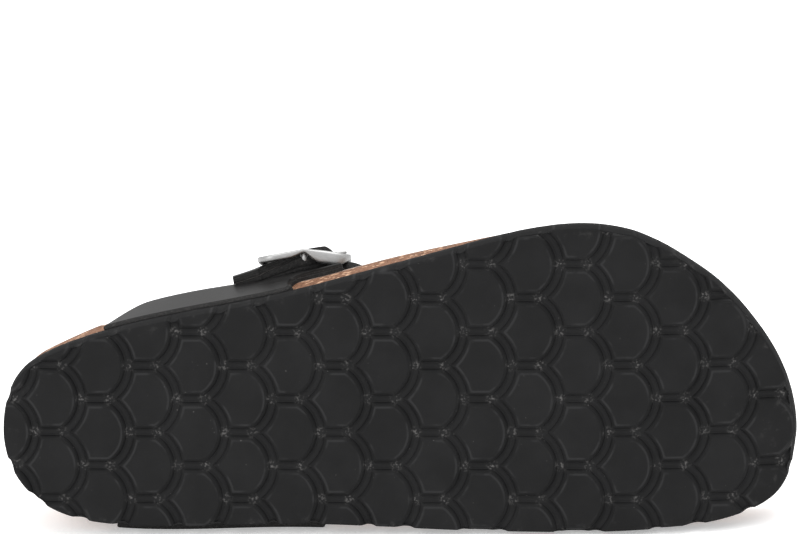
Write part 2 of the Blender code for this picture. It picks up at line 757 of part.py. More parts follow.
def wire(name, points, radius, closed, collection, sides=2):
    """Round wire along points, as a closed mesh."""
    line = bpy.data.curves.new(name, "CURVE")
    line.dimensions = "3D"
    line.bevel_depth = radius * MM
    line.bevel_resolution = sides
    line.use_fill_caps = not closed
    run = line.splines.new("POLY")
    run.points.add(len(points) - 1)
    for place, point in zip(run.points, points):
        place.co = (*(Vector(point) * MM), 1.0)
    run.use_cyclic_u = closed
    holder = bpy.data.objects.new(name + "_line", line)
    bpy.context.scene.collection.objects.link(holder)
    graph = bpy.context.evaluated_depsgraph_get()
    graph.update()
    mesh = bpy.data.meshes.new_from_object(holder.evaluated_get(graph))
    bpy.data.objects.remove(holder)
    shape = bmesh.new()
    shape.from_mesh(mesh)
    bmesh.ops.remove_doubles(shape, verts=shape.verts, dist=MERGE_WIRE * MM)
    bmesh.ops.recalc_face_normals(shape, faces=shape.faces)
    shape.to_mesh(mesh)
    shape.free()
    mesh.name = name
    thing = bpy.data.objects.new(name, mesh)
    collection.objects.link(thing)
    return thing


def frame_height(along):
    """Height of the buckle's side bars, arched over the strap."""
    share = abs(along) / BUCKLE_HALF_LENGTH
    end = BUCKLE_FRONT_HEIGHT if along > 0.0 else BUCKLE_REAR_HEIGHT
    return BUCKLE_APEX_HEIGHT + (end - BUCKLE_APEX_HEIGHT) * share ** BUCKLE_ARCH_POWER


def build_buckle_frame(parts, cutters):
    """Arched frame with its lower centre bar."""
    points = []
    straight = BUCKLE_HALF_LENGTH - BUCKLE_CORNER
    width = BUCKLE_HALF_WIDTH - BUCKLE_CORNER
    for quarter, (sign_a, sign_c) in enumerate(((1, 1), (-1, 1), (-1, -1), (1, -1))):
        for i in range(CORNER_STEPS + 1):
            angle = 0.5 * math.pi * (quarter + i / CORNER_STEPS)
            along = sign_a * straight + BUCKLE_CORNER * math.cos(angle)
            aside = sign_c * width + BUCKLE_CORNER * math.sin(angle)
            points.append((along, aside))
        if quarter in (0, 2):
            for i in range(1, SIDE_BAR_STEPS):
                along = sign_a * straight * (1.0 - 2.0 * i / SIDE_BAR_STEPS)
                points.append((along, sign_c * BUCKLE_HALF_WIDTH))
    ring = [at_buckle(along, aside, frame_height(along)) for along, aside in points]
    frame = wire("buckle_frame", ring, BUCKLE_WIRE, True, parts)
    half_bar = ((BAR_HALF_STRAIGHT, BAR_HEIGHT),
                (BAR_HALF_STRAIGHT + BAR_BEND_OUT, BAR_HEIGHT + BAR_BEND_UP),
                (BUCKLE_HALF_WIDTH, frame_height(0.0) - BAR_SINK))
    bar_points = [at_buckle(0.0, -aside, height) for aside, height in reversed(half_bar)]
    bar_points += [at_buckle(0.0, aside, height) for aside, height in half_bar]
    bar = wire("buckle_bar", bar_points, BAR_RADIUS, False, cutters)
    boolean(frame, bar, "UNION")
    settle(frame)
    tidy_mesh(frame, MERGE_STRAP)
    return frame


def prong_points():
    """Middle line of the prong from the bar through the strap to the front of the frame, slightly bowed."""
    leave = PRONG_LEAVE * (BAR_RADIUS + GAP + PRONG_WIRE)
    front = BUCKLE_HALF_LENGTH + BUCKLE_WIRE + PRONG_OVERHANG
    rest = BUCKLE_FRONT_HEIGHT + BUCKLE_WIRE + PRONG_WIRE + GAP
    middle = 0.5 * (BAR_HEIGHT + leave + rest) + PRONG_BOW
    return [at_buckle(leave, 0.0, BAR_HEIGHT + leave), at_buckle(0.5 * (leave + front), 0.0, middle),
            at_buckle(front, 0.0, rest)]


def build_buckle_prong(parts, cutters):
    """Prong looped on the centre bar."""
    loop = BAR_RADIUS + GAP + PRONG_WIRE
    ring = []
    for i in range(PRONG_SIDES):
        angle = 2.0 * math.pi * i / PRONG_SIDES
        ring.append(at_buckle(loop * math.cos(angle), 0.0, BAR_HEIGHT + loop * math.sin(angle)))
    prong = wire("buckle_prong", ring, PRONG_WIRE, True, parts)
    arm = wire("prong_arm", prong_points(), PRONG_WIRE, False, cutters)
    boolean(prong, arm, "UNION")
    settle(prong)
    tidy_mesh(prong, MERGE_TREAD)
    return prong


def upper_lift(place, part):
    """Distance of the upper from the last: up to a crest ahead of the bar, then down to its free end."""
    lifts = [GAP] * len(UPPER_ROWS) + [row["lift"] for row in BILLET_ROWS]
    seat = min(int(place), len(lifts) - 2)
    share = place - seat
    if lifts[seat] <= GAP or lifts[seat] >= max(lifts):
        share = share * share * (3.0 - 2.0 * share)
    return lifts[seat] + (lifts[seat + 1] - lifts[seat]) * share


def build_upper(parts, cutters):
    """Toe strap, instep, medial strap and buckled strap in one piece of leather."""
    rows = strap_table(UPPER_ROWS, BILLET_ROWS)
    upper = strap_sheet("upper", rows, UPPER_STEPS, UPPER_CROSS_STEPS, upper_lift, STRAP_THICK, parts)
    hole = wire("prong_hole", prong_points(), PRONG_WIRE + PRONG_HOLE_CLEAR, False, cutters)
    boolean(upper, hole, "DIFFERENCE")
    settle(upper)
    tidy_mesh(upper, MERGE_STRAP)
    return upper


def side_lift(place, part):
    """Distance of the side strap from the last: it lies on it all along."""
    return GAP


def fold_section():
    """Outline of the side strap's end folded round the bar, along the strap and above the last."""
    centre, _, _, outward = buckle_axes()
    behind = list(reversed(column(BILLET_ROWS, "back")))
    places = [len(UPPER_ROWS) + len(BILLET_ROWS) - 1.0 - i for i in range(len(behind))]
    foot = []
    top = []
    for i in range(FOLD_STEPS + 1):
        along = FOLD_REAR + (FOLD_FRONT - FOLD_REAR) * i / FOLD_STEPS
        ground = min((strap_point(*on_last(along, aside)) - centre).dot(outward)
                     for aside in (-FOLD_OUTER, -FOLD_INNER, FOLD_INNER, FOLD_OUTER))
        foot.append((along, ground + FOLD_FOOT))
        top.append((along, ground + upper_lift(np.interp(along, behind, places), 0.0) - FOLD_CLEAR))
    return foot[::-1] + top


def build_side_strap(parts, cutters):
    """Lateral strap from the sole to the buckle, its end folded round the centre bar on both sides."""
    rows = strap_table(SIDE_ROWS, SIDE_TIP_ROWS)
    strap = strap_sheet("side_strap", rows, SIDE_STEPS, SIDE_CROSS_STEPS, side_lift, SIDE_THICK, parts)
    section = fold_section()
    for name, sign in (("fold_back", 1.0), ("fold_front", -1.0)):
        rings = [[at_buckle(along, aside, height) for along, height in section]
                 for aside in (sign * (FOLD_INNER - FOLD_LAP), sign * FOLD_OUTER)]
        boolean(strap, loft(name, rings, cutters, True), "UNION", "MANIFOLD")
    bore_half = BAR_HALF_STRAIGHT + BORE_OVERSHOOT
    bore_line = [at_buckle(0.0, aside, BAR_HEIGHT) for aside in (-bore_half, bore_half)]
    boolean(strap, wire("bar_bore", bore_line, BAR_RADIUS + GAP, False, cutters), "DIFFERENCE")
    low = [(aside, NOTCH_LOW) for aside in (-FOLD_INNER, FOLD_INNER)]
    high = [(aside, NOTCH_HIGH) for aside in (FOLD_INNER, -FOLD_INNER)]
    rings = [[at_buckle(along, *corner) for corner in low + high] for along in (NOTCH_REAR, NOTCH_FRONT)]
    boolean(strap, loft("prong_notch", rings, cutters, True), "DIFFERENCE")
    settle(strap)
    tidy_mesh(strap, MERGE_TREAD)
    return strap


def post_place():
    """Foot and head of the toe post."""
    head = last_point(POST_X, 3.0)
    head.z -= GAP * 0.5
    _, middle_y = spine_point(POST_X)
    share = abs(head.y - middle_y) / abs(edge_y("medial", POST_X) - middle_y)
    seat = footbed_z(POST_X, head.y, share, POST_X, "medial") + spring(POST_X)
    return Vector((POST_X, head.y, seat - POST_POCKET)), head


def round_post(name, low, high, radius, collection):
    """Upright round post between two points."""
    rings = []
    for place in (low, high):
        ring = []
        for i in range(POST_SIDES):
            angle = 2.0 * math.pi * i / POST_SIDES
            ring.append((place.x + radius * math.cos(angle), place.y + radius * math.sin(angle), place.z))
        rings.append(ring)
    return loft(name, rings, collection, True)


def finish(thing, name, mover, smooth):
    """Give a piece its finish, its shading and its place on the empty."""
    colour, rough, metal = FINISHES[name]
    material = bpy.data.materials.get(name) or bpy.data.materials.new(name)
    material.use_nodes = True
    shader = material.node_tree.nodes["Principled BSDF"]
    shader.inputs["Base Color"].default_value = colour
    shader.inputs["Roughness"].default_value = rough
    shader.inputs["Metallic"].default_value = metal
    thing.data.materials.clear()
    thing.data.materials.append(material)
    for face in thing.data.polygons:
        face.use_smooth = smooth
    thing.parent = mover


def main():
    """Build all pieces and lay the shoe down."""
    for thing in list(bpy.data.objects):
        bpy.data.objects.remove(thing, do_unlink=True)
    parts = bpy.data.collections.new("toe_post_sandal")
    cutters = bpy.data.collections.new("cutters")
    bpy.context.scene.collection.children.link(parts)
    bpy.context.scene.collection.children.link(cutters)
    foot, head = post_place()
    cut_low = foot - Vector((0.0, 0.0, GAP))
    cut_high = foot + Vector((0.0, 0.0, POST_CUT_HEIGHT))
    post_cutter = round_post("post_cutter", cut_low, cut_high, POST_RADIUS + GAP, cutters)
    pieces = (
        (build_outsole(parts, cutters), "black_foam", False),
        (build_footbed(parts, post_cutter), "cork", True),
        (build_insole(parts, post_cutter), "suede", True),
        (build_upper(parts, cutters), "black_leather", False),
        (build_side_strap(parts, cutters), "black_leather", False),
        (build_buckle_frame(parts, cutters), "satin_steel", True),
        (build_buckle_prong(parts, cutters), "satin_steel", True),
        (round_post("toe_post", foot, head, POST_RADIUS, parts), "black_leather", False),
    )
    mover = bpy.data.objects.new("lying_pose", None)
    parts.objects.link(mover)
    lean = Matrix.Rotation(math.radians(-90.0 - LEAN_DEG), 4, "X")
    turn = Matrix.Rotation(math.radians(ROLL_DEG), 4, "Y") @ lean
    shift = Matrix.Translation(Vector((POSE_X, POSE_Y, FLOOR_LIFT)) * MM)
    mover.matrix_world = shift @ turn
    for thing, name, smooth in pieces:
        finish(thing, name, mover, smooth)
    for thing in cutters.objects:
        thing.hide_render = True
        thing.hide_viewport = True
        thing.display_type = "WIRE"


main()
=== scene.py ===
"""Toe post sandal, a right shoe laid on its medial side, dressed for the studio.

Sizes are millimetres in the shoe's own frame: x from the heel to the toe along the straight medial edge,
y to the medial side, z up from the tread. Last.lay turns them into the lying pose, in metres.
"""
import logging
import math
from dataclasses import dataclass
from enum import Enum
from functools import cached_property
from typing import Any, Callable, Iterable, Mapping, NamedTuple, Optional, Sequence

import bmesh
import bpy
import numpy as np
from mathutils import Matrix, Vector


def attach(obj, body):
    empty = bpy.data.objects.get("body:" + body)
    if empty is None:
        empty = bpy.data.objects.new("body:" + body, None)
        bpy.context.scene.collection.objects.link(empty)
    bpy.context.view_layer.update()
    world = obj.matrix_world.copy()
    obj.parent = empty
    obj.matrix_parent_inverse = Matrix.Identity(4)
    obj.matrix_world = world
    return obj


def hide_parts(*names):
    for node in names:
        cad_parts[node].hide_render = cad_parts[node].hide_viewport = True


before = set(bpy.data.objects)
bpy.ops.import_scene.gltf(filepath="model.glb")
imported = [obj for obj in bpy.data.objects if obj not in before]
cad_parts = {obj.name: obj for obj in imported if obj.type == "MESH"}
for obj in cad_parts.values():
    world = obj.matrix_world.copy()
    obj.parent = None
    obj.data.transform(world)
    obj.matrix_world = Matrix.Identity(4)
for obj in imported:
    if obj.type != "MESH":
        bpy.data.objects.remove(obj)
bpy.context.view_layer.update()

LOG = logging.getLogger("sandal")
# Metres in a millimetre.
MM = 0.001
# Points nearer to each other than this, in metres, become one.
MERGE = 2e-6
# Further than any part of the shoe, in millimetres or in rows of a strap's table.
FAR = 1e3
# Girth places of the last: its top, and the medial base, where the girth ends.
GIRTH_TOP = 3.0
GIRTH_END = 6.0
BODY = "root"
IMAGE_WIDTH = 800
IMAGE_HEIGHT = 534
Colour = tuple[float, float, float]
Faces = list[tuple[int, ...]]
Shape = tuple[np.ndarray, Faces]
Material = bpy.types.Material
Piece = bpy.types.Object


class Side(Enum):
    """Sides of the shoe, each with the sign of y that points to it."""

    MEDIAL = 1.0
    LATERAL = -1.0


class Skin(Enum):
    """Surfaces of a strap, by material slot."""

    GRAIN = 0
    EDGE = 1
    LINING = 2


class SoleRow(NamedTuple):
    """Insets of both edges of the sole from the straight medial line at one station."""

    x: float
    medial: float
    lateral: float


class BedRow(NamedTuple):
    """Footbed at one station: floor, rims, lean of the walls and roundness of the cup."""

    x: float
    floor: float
    medial_rim: float
    lateral_rim: float
    medial_lean: float
    lateral_lean: float
    cup: float


class RiseRow(NamedTuple):
    """Soft rise on the footbed."""

    x: float
    y: float
    reach_x: float
    reach_y: float
    height: float


class LastRow(NamedTuple):
    """Foot form above the rims at one station: widest points of both sides and the top."""

    x: float
    lateral_out: float
    lateral_z: float
    top_y: float
    top_z: float
    medial_out: float
    medial_z: float


class StrapRow(NamedTuple):
    """Back and front edge of a strap at one section, by station and girth place."""

    place: str
    back_x: float
    back_g: float
    front_x: float
    front_g: float


class TipRow(NamedTuple):
    """Section of a strap's buckle end: both edges along and across the strap, and its height above the last."""

    place: str
    back: float
    back_half: float
    front: float
    front_half: float
    lift: float = 0.3


class Crease(NamedTuple):
    """Soft trough in the leather, by station, girth place, slant, width, reach and depth."""

    x: float
    girth: float
    slant: float
    width: float
    reach: float
    depth: float


class FlankRow(NamedTuple):
    """Row of the sole's side: its inset, its height, and how far a groove lifts and pushes in there."""

    inset: float
    height: float
    lift: float
    push: float


class Axes(NamedTuple):
    """Centre of the buckle on the last, with directions along the strap, across it and outwards."""

    centre: np.ndarray
    forward: np.ndarray
    sideways: np.ndarray
    outward: np.ndarray


class Noise(NamedTuple):
    """Noise of a finish: lumps to the metre, layers of detail and strength of the finer layers."""

    scale: float
    detail: float = 3.0
    rough: float = 0.5


class Relief(NamedTuple):
    """Fine relief of a finish: full height in metres, and strength."""

    depth: float
    strength: float


class Lamp(NamedTuple):
    """Soft square lamp: place and side in metres, power in watts."""

    name: str
    place: tuple[float, float, float]
    size: float
    power: float


SOLE_ROWS = (
    SoleRow(6.0, 15.0, 51.8),
    SoleRow(14.0, 8.2, 57.6),
    SoleRow(26.0, 3.8, 62.6),
    SoleRow(42.0, 2.0, 67.2),
    SoleRow(64.0, 1.9, 71.8),
    SoleRow(92.0, 2.6, 77.4),
    SoleRow(118.0, 2.0, 84.2),
    SoleRow(144.0, 0.8, 91.2),
    SoleRow(168.0, 0.2, 97.4),
    SoleRow(188.0, 0.1, 99.8),
    SoleRow(206.0, 0.6, 97.0),
    SoleRow(220.0, 1.5, 89.7),
    SoleRow(233.0, 3.4, 79.8),
    SoleRow(244.0, 6.9, 67.0),
    SoleRow(252.0, 12.8, 53.4),
)

BED_ROWS = (
    BedRow(0.0, 21.5, 33.0, 33.0, 0.0, 0.0, 3.0),
    BedRow(12.0, 20.8, 33.0, 32.6, 1.0, -1.4, 2.9),
    BedRow(30.0, 20.0, 33.0, 32.0, 2.2, -0.6, 2.8),
    BedRow(60.0, 20.5, 34.0, 30.5, 3.2, 0.7, 2.6),
    BedRow(95.0, 21.5, 36.0, 28.0, 3.4, -0.2, 2.4),
    BedRow(130.0, 20.0, 31.0, 25.0, 3.0, 0.0, 2.8),
    BedRow(165.0, 17.5, 24.0, 22.0, 2.3, -1.7, 4.5),
    BedRow(200.0, 16.5, 21.5, 21.0, 2.0, -2.3, 6.0),
    BedRow(235.0, 16.5, 21.5, 21.0, 1.0, -2.0, 6.0),
    BedRow(257.0, 16.8, 21.8, 21.8, 0.0, 0.0, 5.0),
)

RISE_ROWS = (
    RiseRow(214.0, 2.0, 9.0, 30.0, 2.6),
    RiseRow(148.0, 0.0, 16.0, 13.0, 2.8),
)

LAST_ROWS = (
    LastRow(20.0, -5.2, 46.0, 14.0, 98.0, -6.5, 50.0),
    LastRow(60.0, -2.8, 49.0, 14.0, 93.0, -5.0, 51.0),
    LastRow(80.0, -2.7, 50.12, 13.12, 88.9, -5.09, 53.49),
    LastRow(100.0, -3.8, 50.0, 12.0, 83.0, -6.0, 54.0),
    LastRow(114.0, -8.0, 48.7, 11.37, 77.57, -7.17, 51.41),
    LastRow(130.0, -10.2, 46.0, 11.0, 70.0, -9.0, 47.0),
    LastRow(160.0, -14.5, 38.0, 11.5, 53.0, -14.0, 39.0),
    LastRow(185.0, -22.6, 30.0, 13.0, 40.0, -20.0, 31.0),
    LastRow(203.0, -30.0, 27.0, 15.0, 34.5, -24.0, 28.5),
    LastRow(220.0, -34.0, 27.0, 15.5, 33.5, -26.0, 28.0),
)

UPPER_ROWS = (
    StrapRow("medial base", 36.0, 6.0, 104.0, 6.0),
    StrapRow("medial rim", 44.0, 5.0, 109.0, 5.0),
    StrapRow("medial side", 66.0, 4.2, 124.0, 4.25),
    StrapRow("medial instep", 92.0, 3.62, 146.0, 3.72),
    StrapRow("tongue medial", 104.0, 3.34, 170.0, 3.42),
    StrapRow("tongue medial edge", 108.0, 3.2, 194.0, 3.26),
    StrapRow("tip medial corner", 110.0, 3.09, 208.0, 3.17),
    StrapRow("tip lateral corner", 111.0, 2.97, 208.0, 2.87),
    StrapRow("tongue lateral edge", 111.0, 2.86, 192.0, 2.75),
    StrapRow("tongue lateral", 110.0, 2.7, 164.0, 2.6),
    StrapRow("lateral instep", 110.0, 2.5, 136.0, 2.3),
    StrapRow("lateral turn", 111.0, 2.32, 120.5, 1.92),
)

BILLET_ROWS = (
    TipRow("before the buckle", 16.0, 11.0, 15.6, 11.8),
    TipRow("front of the frame", 12.0, 10.7, 12.0, 11.5),
    TipRow("crest", 7.0, 10.5, 7.0, 10.5, 7.0),
    TipRow("over the bar", -1.0, 10.5, -1.0, 10.5, 7.1),
    TipRow("rear of the frame", -9.0, 10.4, -9.0, 10.4, 5.3),
    TipRow("behind the buckle", -16.5, 10.3, -16.5, 10.3, 4.0),
    TipRow("free end", -24.0, 10.2, -24.0, 10.2, 2.9),
)

SIDE_ROWS = (
    StrapRow("base", 33.5, 0.0, 95.2, 0.0),
    StrapRow("rim", 41.0, 0.9, 94.0, 0.82),
    StrapRow("lip", 49.0, 1.2, 103.0, 0.91),
    StrapRow("side", 57.0, 1.4, 110.0, 0.95),
)

SIDE_TIP_ROWS = (
    TipRow("below the bar", -15.0, 10.9, 10.0, 14.2),
    TipRow("near the bar", -7.0, 10.5, 9.4, 12.0),
    TipRow("bar", 0.5, 10.3, 8.6, 10.6),
)

CREASES = (
    Crease(168.0, 3.3, -6.0, 2.6, 0.5, 0.35),
    Crease(178.0, 3.1, -4.0, 2.2, 0.4, 0.45),
    Crease(186.0, 3.0, 4.0, 2.0, 0.35, 0.35),
    Crease(118.0, 2.35, 10.0, 2.4, 0.3, 0.4),
    Crease(126.0, 2.45, 14.0, 2.6, 0.3, 0.35),
    Crease(96.0, 4.6, 9.0, 4.0, 0.5, 0.4),
    Crease(78.0, 4.75, 9.0, 4.5, 0.5, 0.35),
)


def smooth(value: np.ndarray, low: float, high: float) -> np.ndarray:
    """Soft step.

    Args:
        value: what is stepped.
        low: value at which the step is nought.
        high: value at which the step is one.

    Returns:
        Shares from nought to one.
    """
    share = np.clip((np.asarray(value, dtype=float) - low) / (high - low), 0.0, 1.0)
    return share * share * (3.0 - 2.0 * share)


class Curve:
    """Natural cubic spline through a short table."""

    def __init__(self, knots: Iterable[float], values: Iterable[float]) -> None:
        """Work out the bends.

        Args:
            knots: rising places.
            values: values at those places.
        """
        self.knots = np.array(list(knots), dtype=float)
        self.values = np.array(list(values), dtype=float)
        self.steps = np.diff(self.knots)
        count = len(self.knots)
        matrix = np.eye(count)
        right = np.zeros(count)
        slopes = np.diff(self.values) / self.steps
        for i in range(1, count - 1):
            before, after = self.steps[i - 1], self.steps[i]
            matrix[i, i - 1:i + 2] = before, 2.0 * (before + after), after
            right[i] = 6.0 * (slopes[i] - slopes[i - 1])
        self.bends = np.linalg.solve(matrix, right)

    def __call__(self, where: Any) -> np.ndarray:
        """Value of the spline.

        Args:
            where: places, held to the table's ends.

        Returns:
            Values at those places.
        """
        where = np.clip(np.asarray(where, dtype=float), self.knots[0], self.knots[-1])
        seat = np.clip(np.searchsorted(self.knots, where) - 1, 0, len(self.knots) - 2)
        step = self.steps[seat]
        ahead = (self.knots[seat + 1] - where) / step
        behind = (where - self.knots[seat]) / step
        bend = (ahead ** 3 - ahead) * self.bends[seat] + (behind ** 3 - behind) * self.bends[seat + 1]
        return ahead * self.values[seat] + behind * self.values[seat + 1] + bend * step ** 2 / 6.0


@dataclass
class Last:
    """The shoe's own form: its outline, its footbed and the foot form that the straps lie on."""

    length: float = 257.0
    medial_line: float = 50.0
    tip_inset: float = 32.0
    outline_points: int = 3001
    least_reach: float = 1e-6
    gap: float = 0.3
    sole_top: float = 8.5
    toe_spring: float = 11.0
    toe_from: float = 188.0
    heel_rise: float = 2.4
    heel_to: float = 34.0
    spine_from: float = 30.0
    spine_to: float = 222.0
    rim_share: float = 0.96
    rise_fade: int = 4
    seat_depth: float = 0.9
    seat_rim_share: float = 0.5
    seat_ends: tuple[float, float] = (31.0, 93.0)
    seat_ramp: float = 2.5
    wall_pull: float = 0.8
    side_turn: float = 0.2
    lean_deg: float = 6.853
    roll_deg: float = 0.302
    shift: tuple[float, float, float] = (-128.38, -36.897, 52.031)
    buckle_x: float = 96.5
    buckle_girth: float = 1.74
    buckle_tilt: float = 4.8
    flat_radius: float = 75.0
    flat_share: float = 0.85
    flat_ahead: tuple[float, float] = (13.0, 24.0)
    flat_behind: tuple[float, float] = (12.0, 28.0)
    flat_back: tuple[float, float] = (11.0, 40.0)
    flat_front: tuple[float, float] = (11.0, 18.0)
    flat_sink: tuple[float, float] = (3.0, 30.0)
    slope_step: float = 0.5
    slope_nudge: float = 0.02
    find_nudge: tuple[float, float] = (0.5, 0.01)
    find_rounds: int = 12
    find_pace: float = 0.7

    def __post_init__(self) -> None:
        """Turn the tables into curves."""
        turns = [0.0] + [float(self.turn(row.x)) for row in SOLE_ROWS] + [math.pi]
        self.edges = {}
        for side in Side:
            insets = [getattr(row, side.name.lower()) for row in SOLE_ROWS]
            self.edges[side] = Curve(turns, [self.tip_inset] + insets + [self.tip_inset])
        self.bed = self.columns(BED_ROWS)
        self.form = self.columns(LAST_ROWS)

    @staticmethod
    def columns(rows: Sequence[Any]) -> dict[str, Curve]:
        """Curves over x of a table's other columns."""
        knots = [row.x for row in rows]
        return {name: Curve(knots, [getattr(row, name) for row in rows]) for name in rows[0]._fields[1:]}

    def turn(self, x: Any) -> np.ndarray:
        """Angle that runs from the heel tip to the toe tip, so that both ends come out round."""
        return np.arccos(np.clip(1.0 - 2.0 * np.asarray(x, dtype=float) / self.length, -1.0, 1.0))

    def edge(self, side: Side, x: Any) -> np.ndarray:
        """Place of one edge of the sole at station x."""
        return self.medial_line - self.edges[side](self.turn(x))

    def half_width(self, x: Any) -> np.ndarray:
        """Half of the sole's width at station x."""
        return 0.5 * np.abs(self.edge(Side.MEDIAL, x) - self.edge(Side.LATERAL, x))

    def spring(self, x: Any) -> np.ndarray:
        """Rise of the whole sole at the toe and the heel.

        Args:
            x: places along the shoe.

        Returns:
            Heights to add there.
        """
        toe = np.maximum(0.0, (np.asarray(x) - self.toe_from) / (self.length - self.toe_from))
        heel = np.maximum(0.0, (self.heel_to - np.asarray(x)) / self.heel_to)
        return self.toe_spring * toe ** 2 + self.heel_rise * heel ** 2

    def spine(self, x: Any) -> tuple[np.ndarray, np.ndarray]:
        """Middle of the sole, held back from both tips."""
        held = np.clip(x, self.spine_from, self.spine_to)
        return held, 0.5 * (self.edge(Side.MEDIAL, held) + self.edge(Side.LATERAL, held))

    def across(self, x: np.ndarray, share: np.ndarray, inset: Any = 0.0) -> tuple[np.ndarray, np.ndarray]:
        """Points of the plan.

        Args:
            x: stations.
            share: signed share of the way out, negative on the lateral side.
            inset: distance kept from the edge.

        Returns:
            Places along and across the shoe.
        """
        middle_x, middle_y = self.spine(x)
        edge = np.where(share >= 0.0, self.edge(Side.MEDIAL, x), self.edge(Side.LATERAL, x))
        out_x = x - middle_x
        out_y = edge - middle_y
        reach = np.maximum(np.hypot(out_x, out_y), self.least_reach)
        part = np.abs(share) * (reach - inset) / reach
        return middle_x + out_x * part, middle_y + out_y * part

    def by_side(self, name: str, x: np.ndarray, share: np.ndarray) -> np.ndarray:
        """Column of the footbed's table for the side that the share lies on."""
        return np.where(share >= 0.0, self.bed["medial_" + name](x), self.bed["lateral_" + name](x))

    def seat(self, x: np.ndarray, share: Any) -> np.ndarray:
        """Depth of the side strap's seat in the footbed's lateral wall.

        Args:
            x: stations.
            share: signed share of the way out, negative on the lateral side.

        Returns:
            Depths, nought on the medial side.
        """
        start, end = self.seat_ends
        ends = smooth(x, start - self.seat_ramp, start) * (1.0 - smooth(x, end, end + self.seat_ramp))
        return np.where(np.asarray(share) < 0.0, self.seat_depth * ends, 0.0)

    def bed_top(self, x: np.ndarray, y: np.ndarray, share: np.ndarray, station: np.ndarray) -> np.ndarray:
        """Height of the footbed's top.

        Args:
            x: places along the shoe.
            y: places across it.
            share: signed share of the way out to the edge.
            station: station of the edge that the share belongs to.

        Returns:
            Heights above the tread plane, without the spring.
        """
        floor = self.bed["floor"](x)
        rim = self.by_side("rim", station, share)
        out = np.abs(share)
        height = floor + (rim - floor) * np.minimum(1.0, out / self.rim_share) ** self.bed["cup"](x)
        for rise in RISE_ROWS:
            away = ((x - rise.x) / rise.reach_x) ** 2 + ((y - rise.y) / rise.reach_y) ** 2
            height = height + rise.height * np.exp(-away) * (1.0 - out ** self.rise_fade)
        return height

    def stations(self, spacing: float) -> np.ndarray:
        """Stations an even distance apart along the outline.

        Args:
            spacing: that distance.

        Returns:
            Stations from the heel tip to the toe tip.
        """
        x = self.length * 0.5 * (1.0 - np.cos(np.linspace(0.0, math.pi, self.outline_points)))
        steps = [np.hypot(np.diff(x), np.diff(self.edge(side, x))) for side in Side]
        run = np.concatenate([[0.0], np.cumsum(np.maximum(*steps))])
        return np.interp(np.linspace(0.0, run[-1], int(run[-1] / spacing) + 1), run, x)

    def point(self, x: Any, girth: Any) -> np.ndarray:
        """Points of the foot form.

        Args:
            x: stations.
            girth: girth places, from 0 at the lateral base by the top to the end at the medial base.

        Returns:
            Points, one a row.
        """
        x, girth = np.broadcast_arrays(np.asarray(x, dtype=float), np.clip(girth, 0.0, GIRTH_END))
        keys = []
        for side in (Side.LATERAL, Side.MEDIAL):
            name = side.name.lower()
            edge = self.edge(side, x)
            lean = self.bed[name + "_lean"](x)
            seat = self.seat(x, side.value)
            wide = edge + side.value * self.form[name + "_out"](x)
            rim = edge - lean + seat * self.seat_rim_share
            group = [np.stack([edge + seat, np.full(x.shape, self.sole_top + self.gap)], axis=-1),
                     np.stack([rim, self.bed[name + "_rim"](x)], axis=-1),
                     np.stack([wide, self.form[name + "_z"](x)], axis=-1)]
            keys.append(group)
        top = np.stack([self.form["top_y"](x), self.form["top_z"](x)], axis=-1)
        nodes = np.stack(keys[0] + [top] + keys[1][::-1])
        slopes = np.zeros_like(nodes)
        slopes[1:6] = 0.5 * (nodes[2:7] - nodes[0:5])
        slopes[1] = (nodes[1] - nodes[0]) * self.wall_pull
        slopes[5] = (nodes[6] - nodes[5]) * self.wall_pull
        slopes[2, ..., 0] *= self.side_turn
        slopes[4, ..., 0] *= self.side_turn
        final = int(GIRTH_END) - 1
        leg = np.minimum(girth.astype(int), final)
        part = (girth - leg)[..., None]
        spots = (leg,) + tuple(np.indices(leg.shape))
        nexts = (leg + 1,) + spots[1:]
        start, end = nodes[spots], nodes[nexts]
        square, cube = part ** 2, part ** 3
        round_way = ((2 * cube - 3 * square + 1) * start + (cube - 2 * square + part) * slopes[spots]
                     + (3 * square - 2 * cube) * end + (cube - square) * slopes[nexts])
        straight = start + (end - start) * part
        wall = ((leg == 0) | (leg == final))[..., None]
        plan = np.where(wall, straight, round_way)
        return np.stack([x, plan[..., 0], plan[..., 1] + self.spring(x)], axis=-1)

    def normal(self, surface: Callable[[Any, Any], np.ndarray], x: Any, girth: Any) -> np.ndarray:
        """Outward normals of the foot form or of the form the straps take on it.

        Args:
            surface: which of the two forms.
            x: stations.
            girth: girth places.

        Returns:
            Directions of length one.
        """
        x, girth = np.asarray(x), np.asarray(girth)
        low = np.maximum(girth - self.slope_nudge, 0.0)
        high = np.minimum(girth + self.slope_nudge, GIRTH_END)
        along = surface(x + self.slope_step, girth) - surface(x - self.slope_step, girth)
        normal = np.cross(along, surface(x, high) - surface(x, low))
        return normal / np.linalg.norm(normal, axis=-1, keepdims=True)

    @cached_property
    def buckle(self) -> Axes:
        """Axes of the buckle.

        Returns:
            Its centre on the last and its directions.
        """
        centre = self.point(self.buckle_x, self.buckle_girth)
        outward = self.normal(self.point, self.buckle_x, self.buckle_girth)
        tilt = math.radians(self.buckle_tilt)
        along = np.array([math.cos(tilt), 0.0, math.sin(tilt)])
        along = along - outward * along.dot(outward)
        along = along / np.linalg.norm(along)
        return Axes(centre, along, np.cross(outward, along), outward)

    def at_buckle(self, along: Any, aside: Any, height: Any) -> np.ndarray:
        """Points of the buckle.

        Args:
            along: distances along the strap from the buckle's centre.
            aside: distances across it.
            height: heights above the last.

        Returns:
            Points in the shoe's frame.
        """
        axes = self.buckle
        along, aside, height = np.broadcast_arrays(along, aside, height)
        return (axes.centre + along[..., None] * axes.forward + aside[..., None] * axes.sideways
                + height[..., None] * axes.outward)

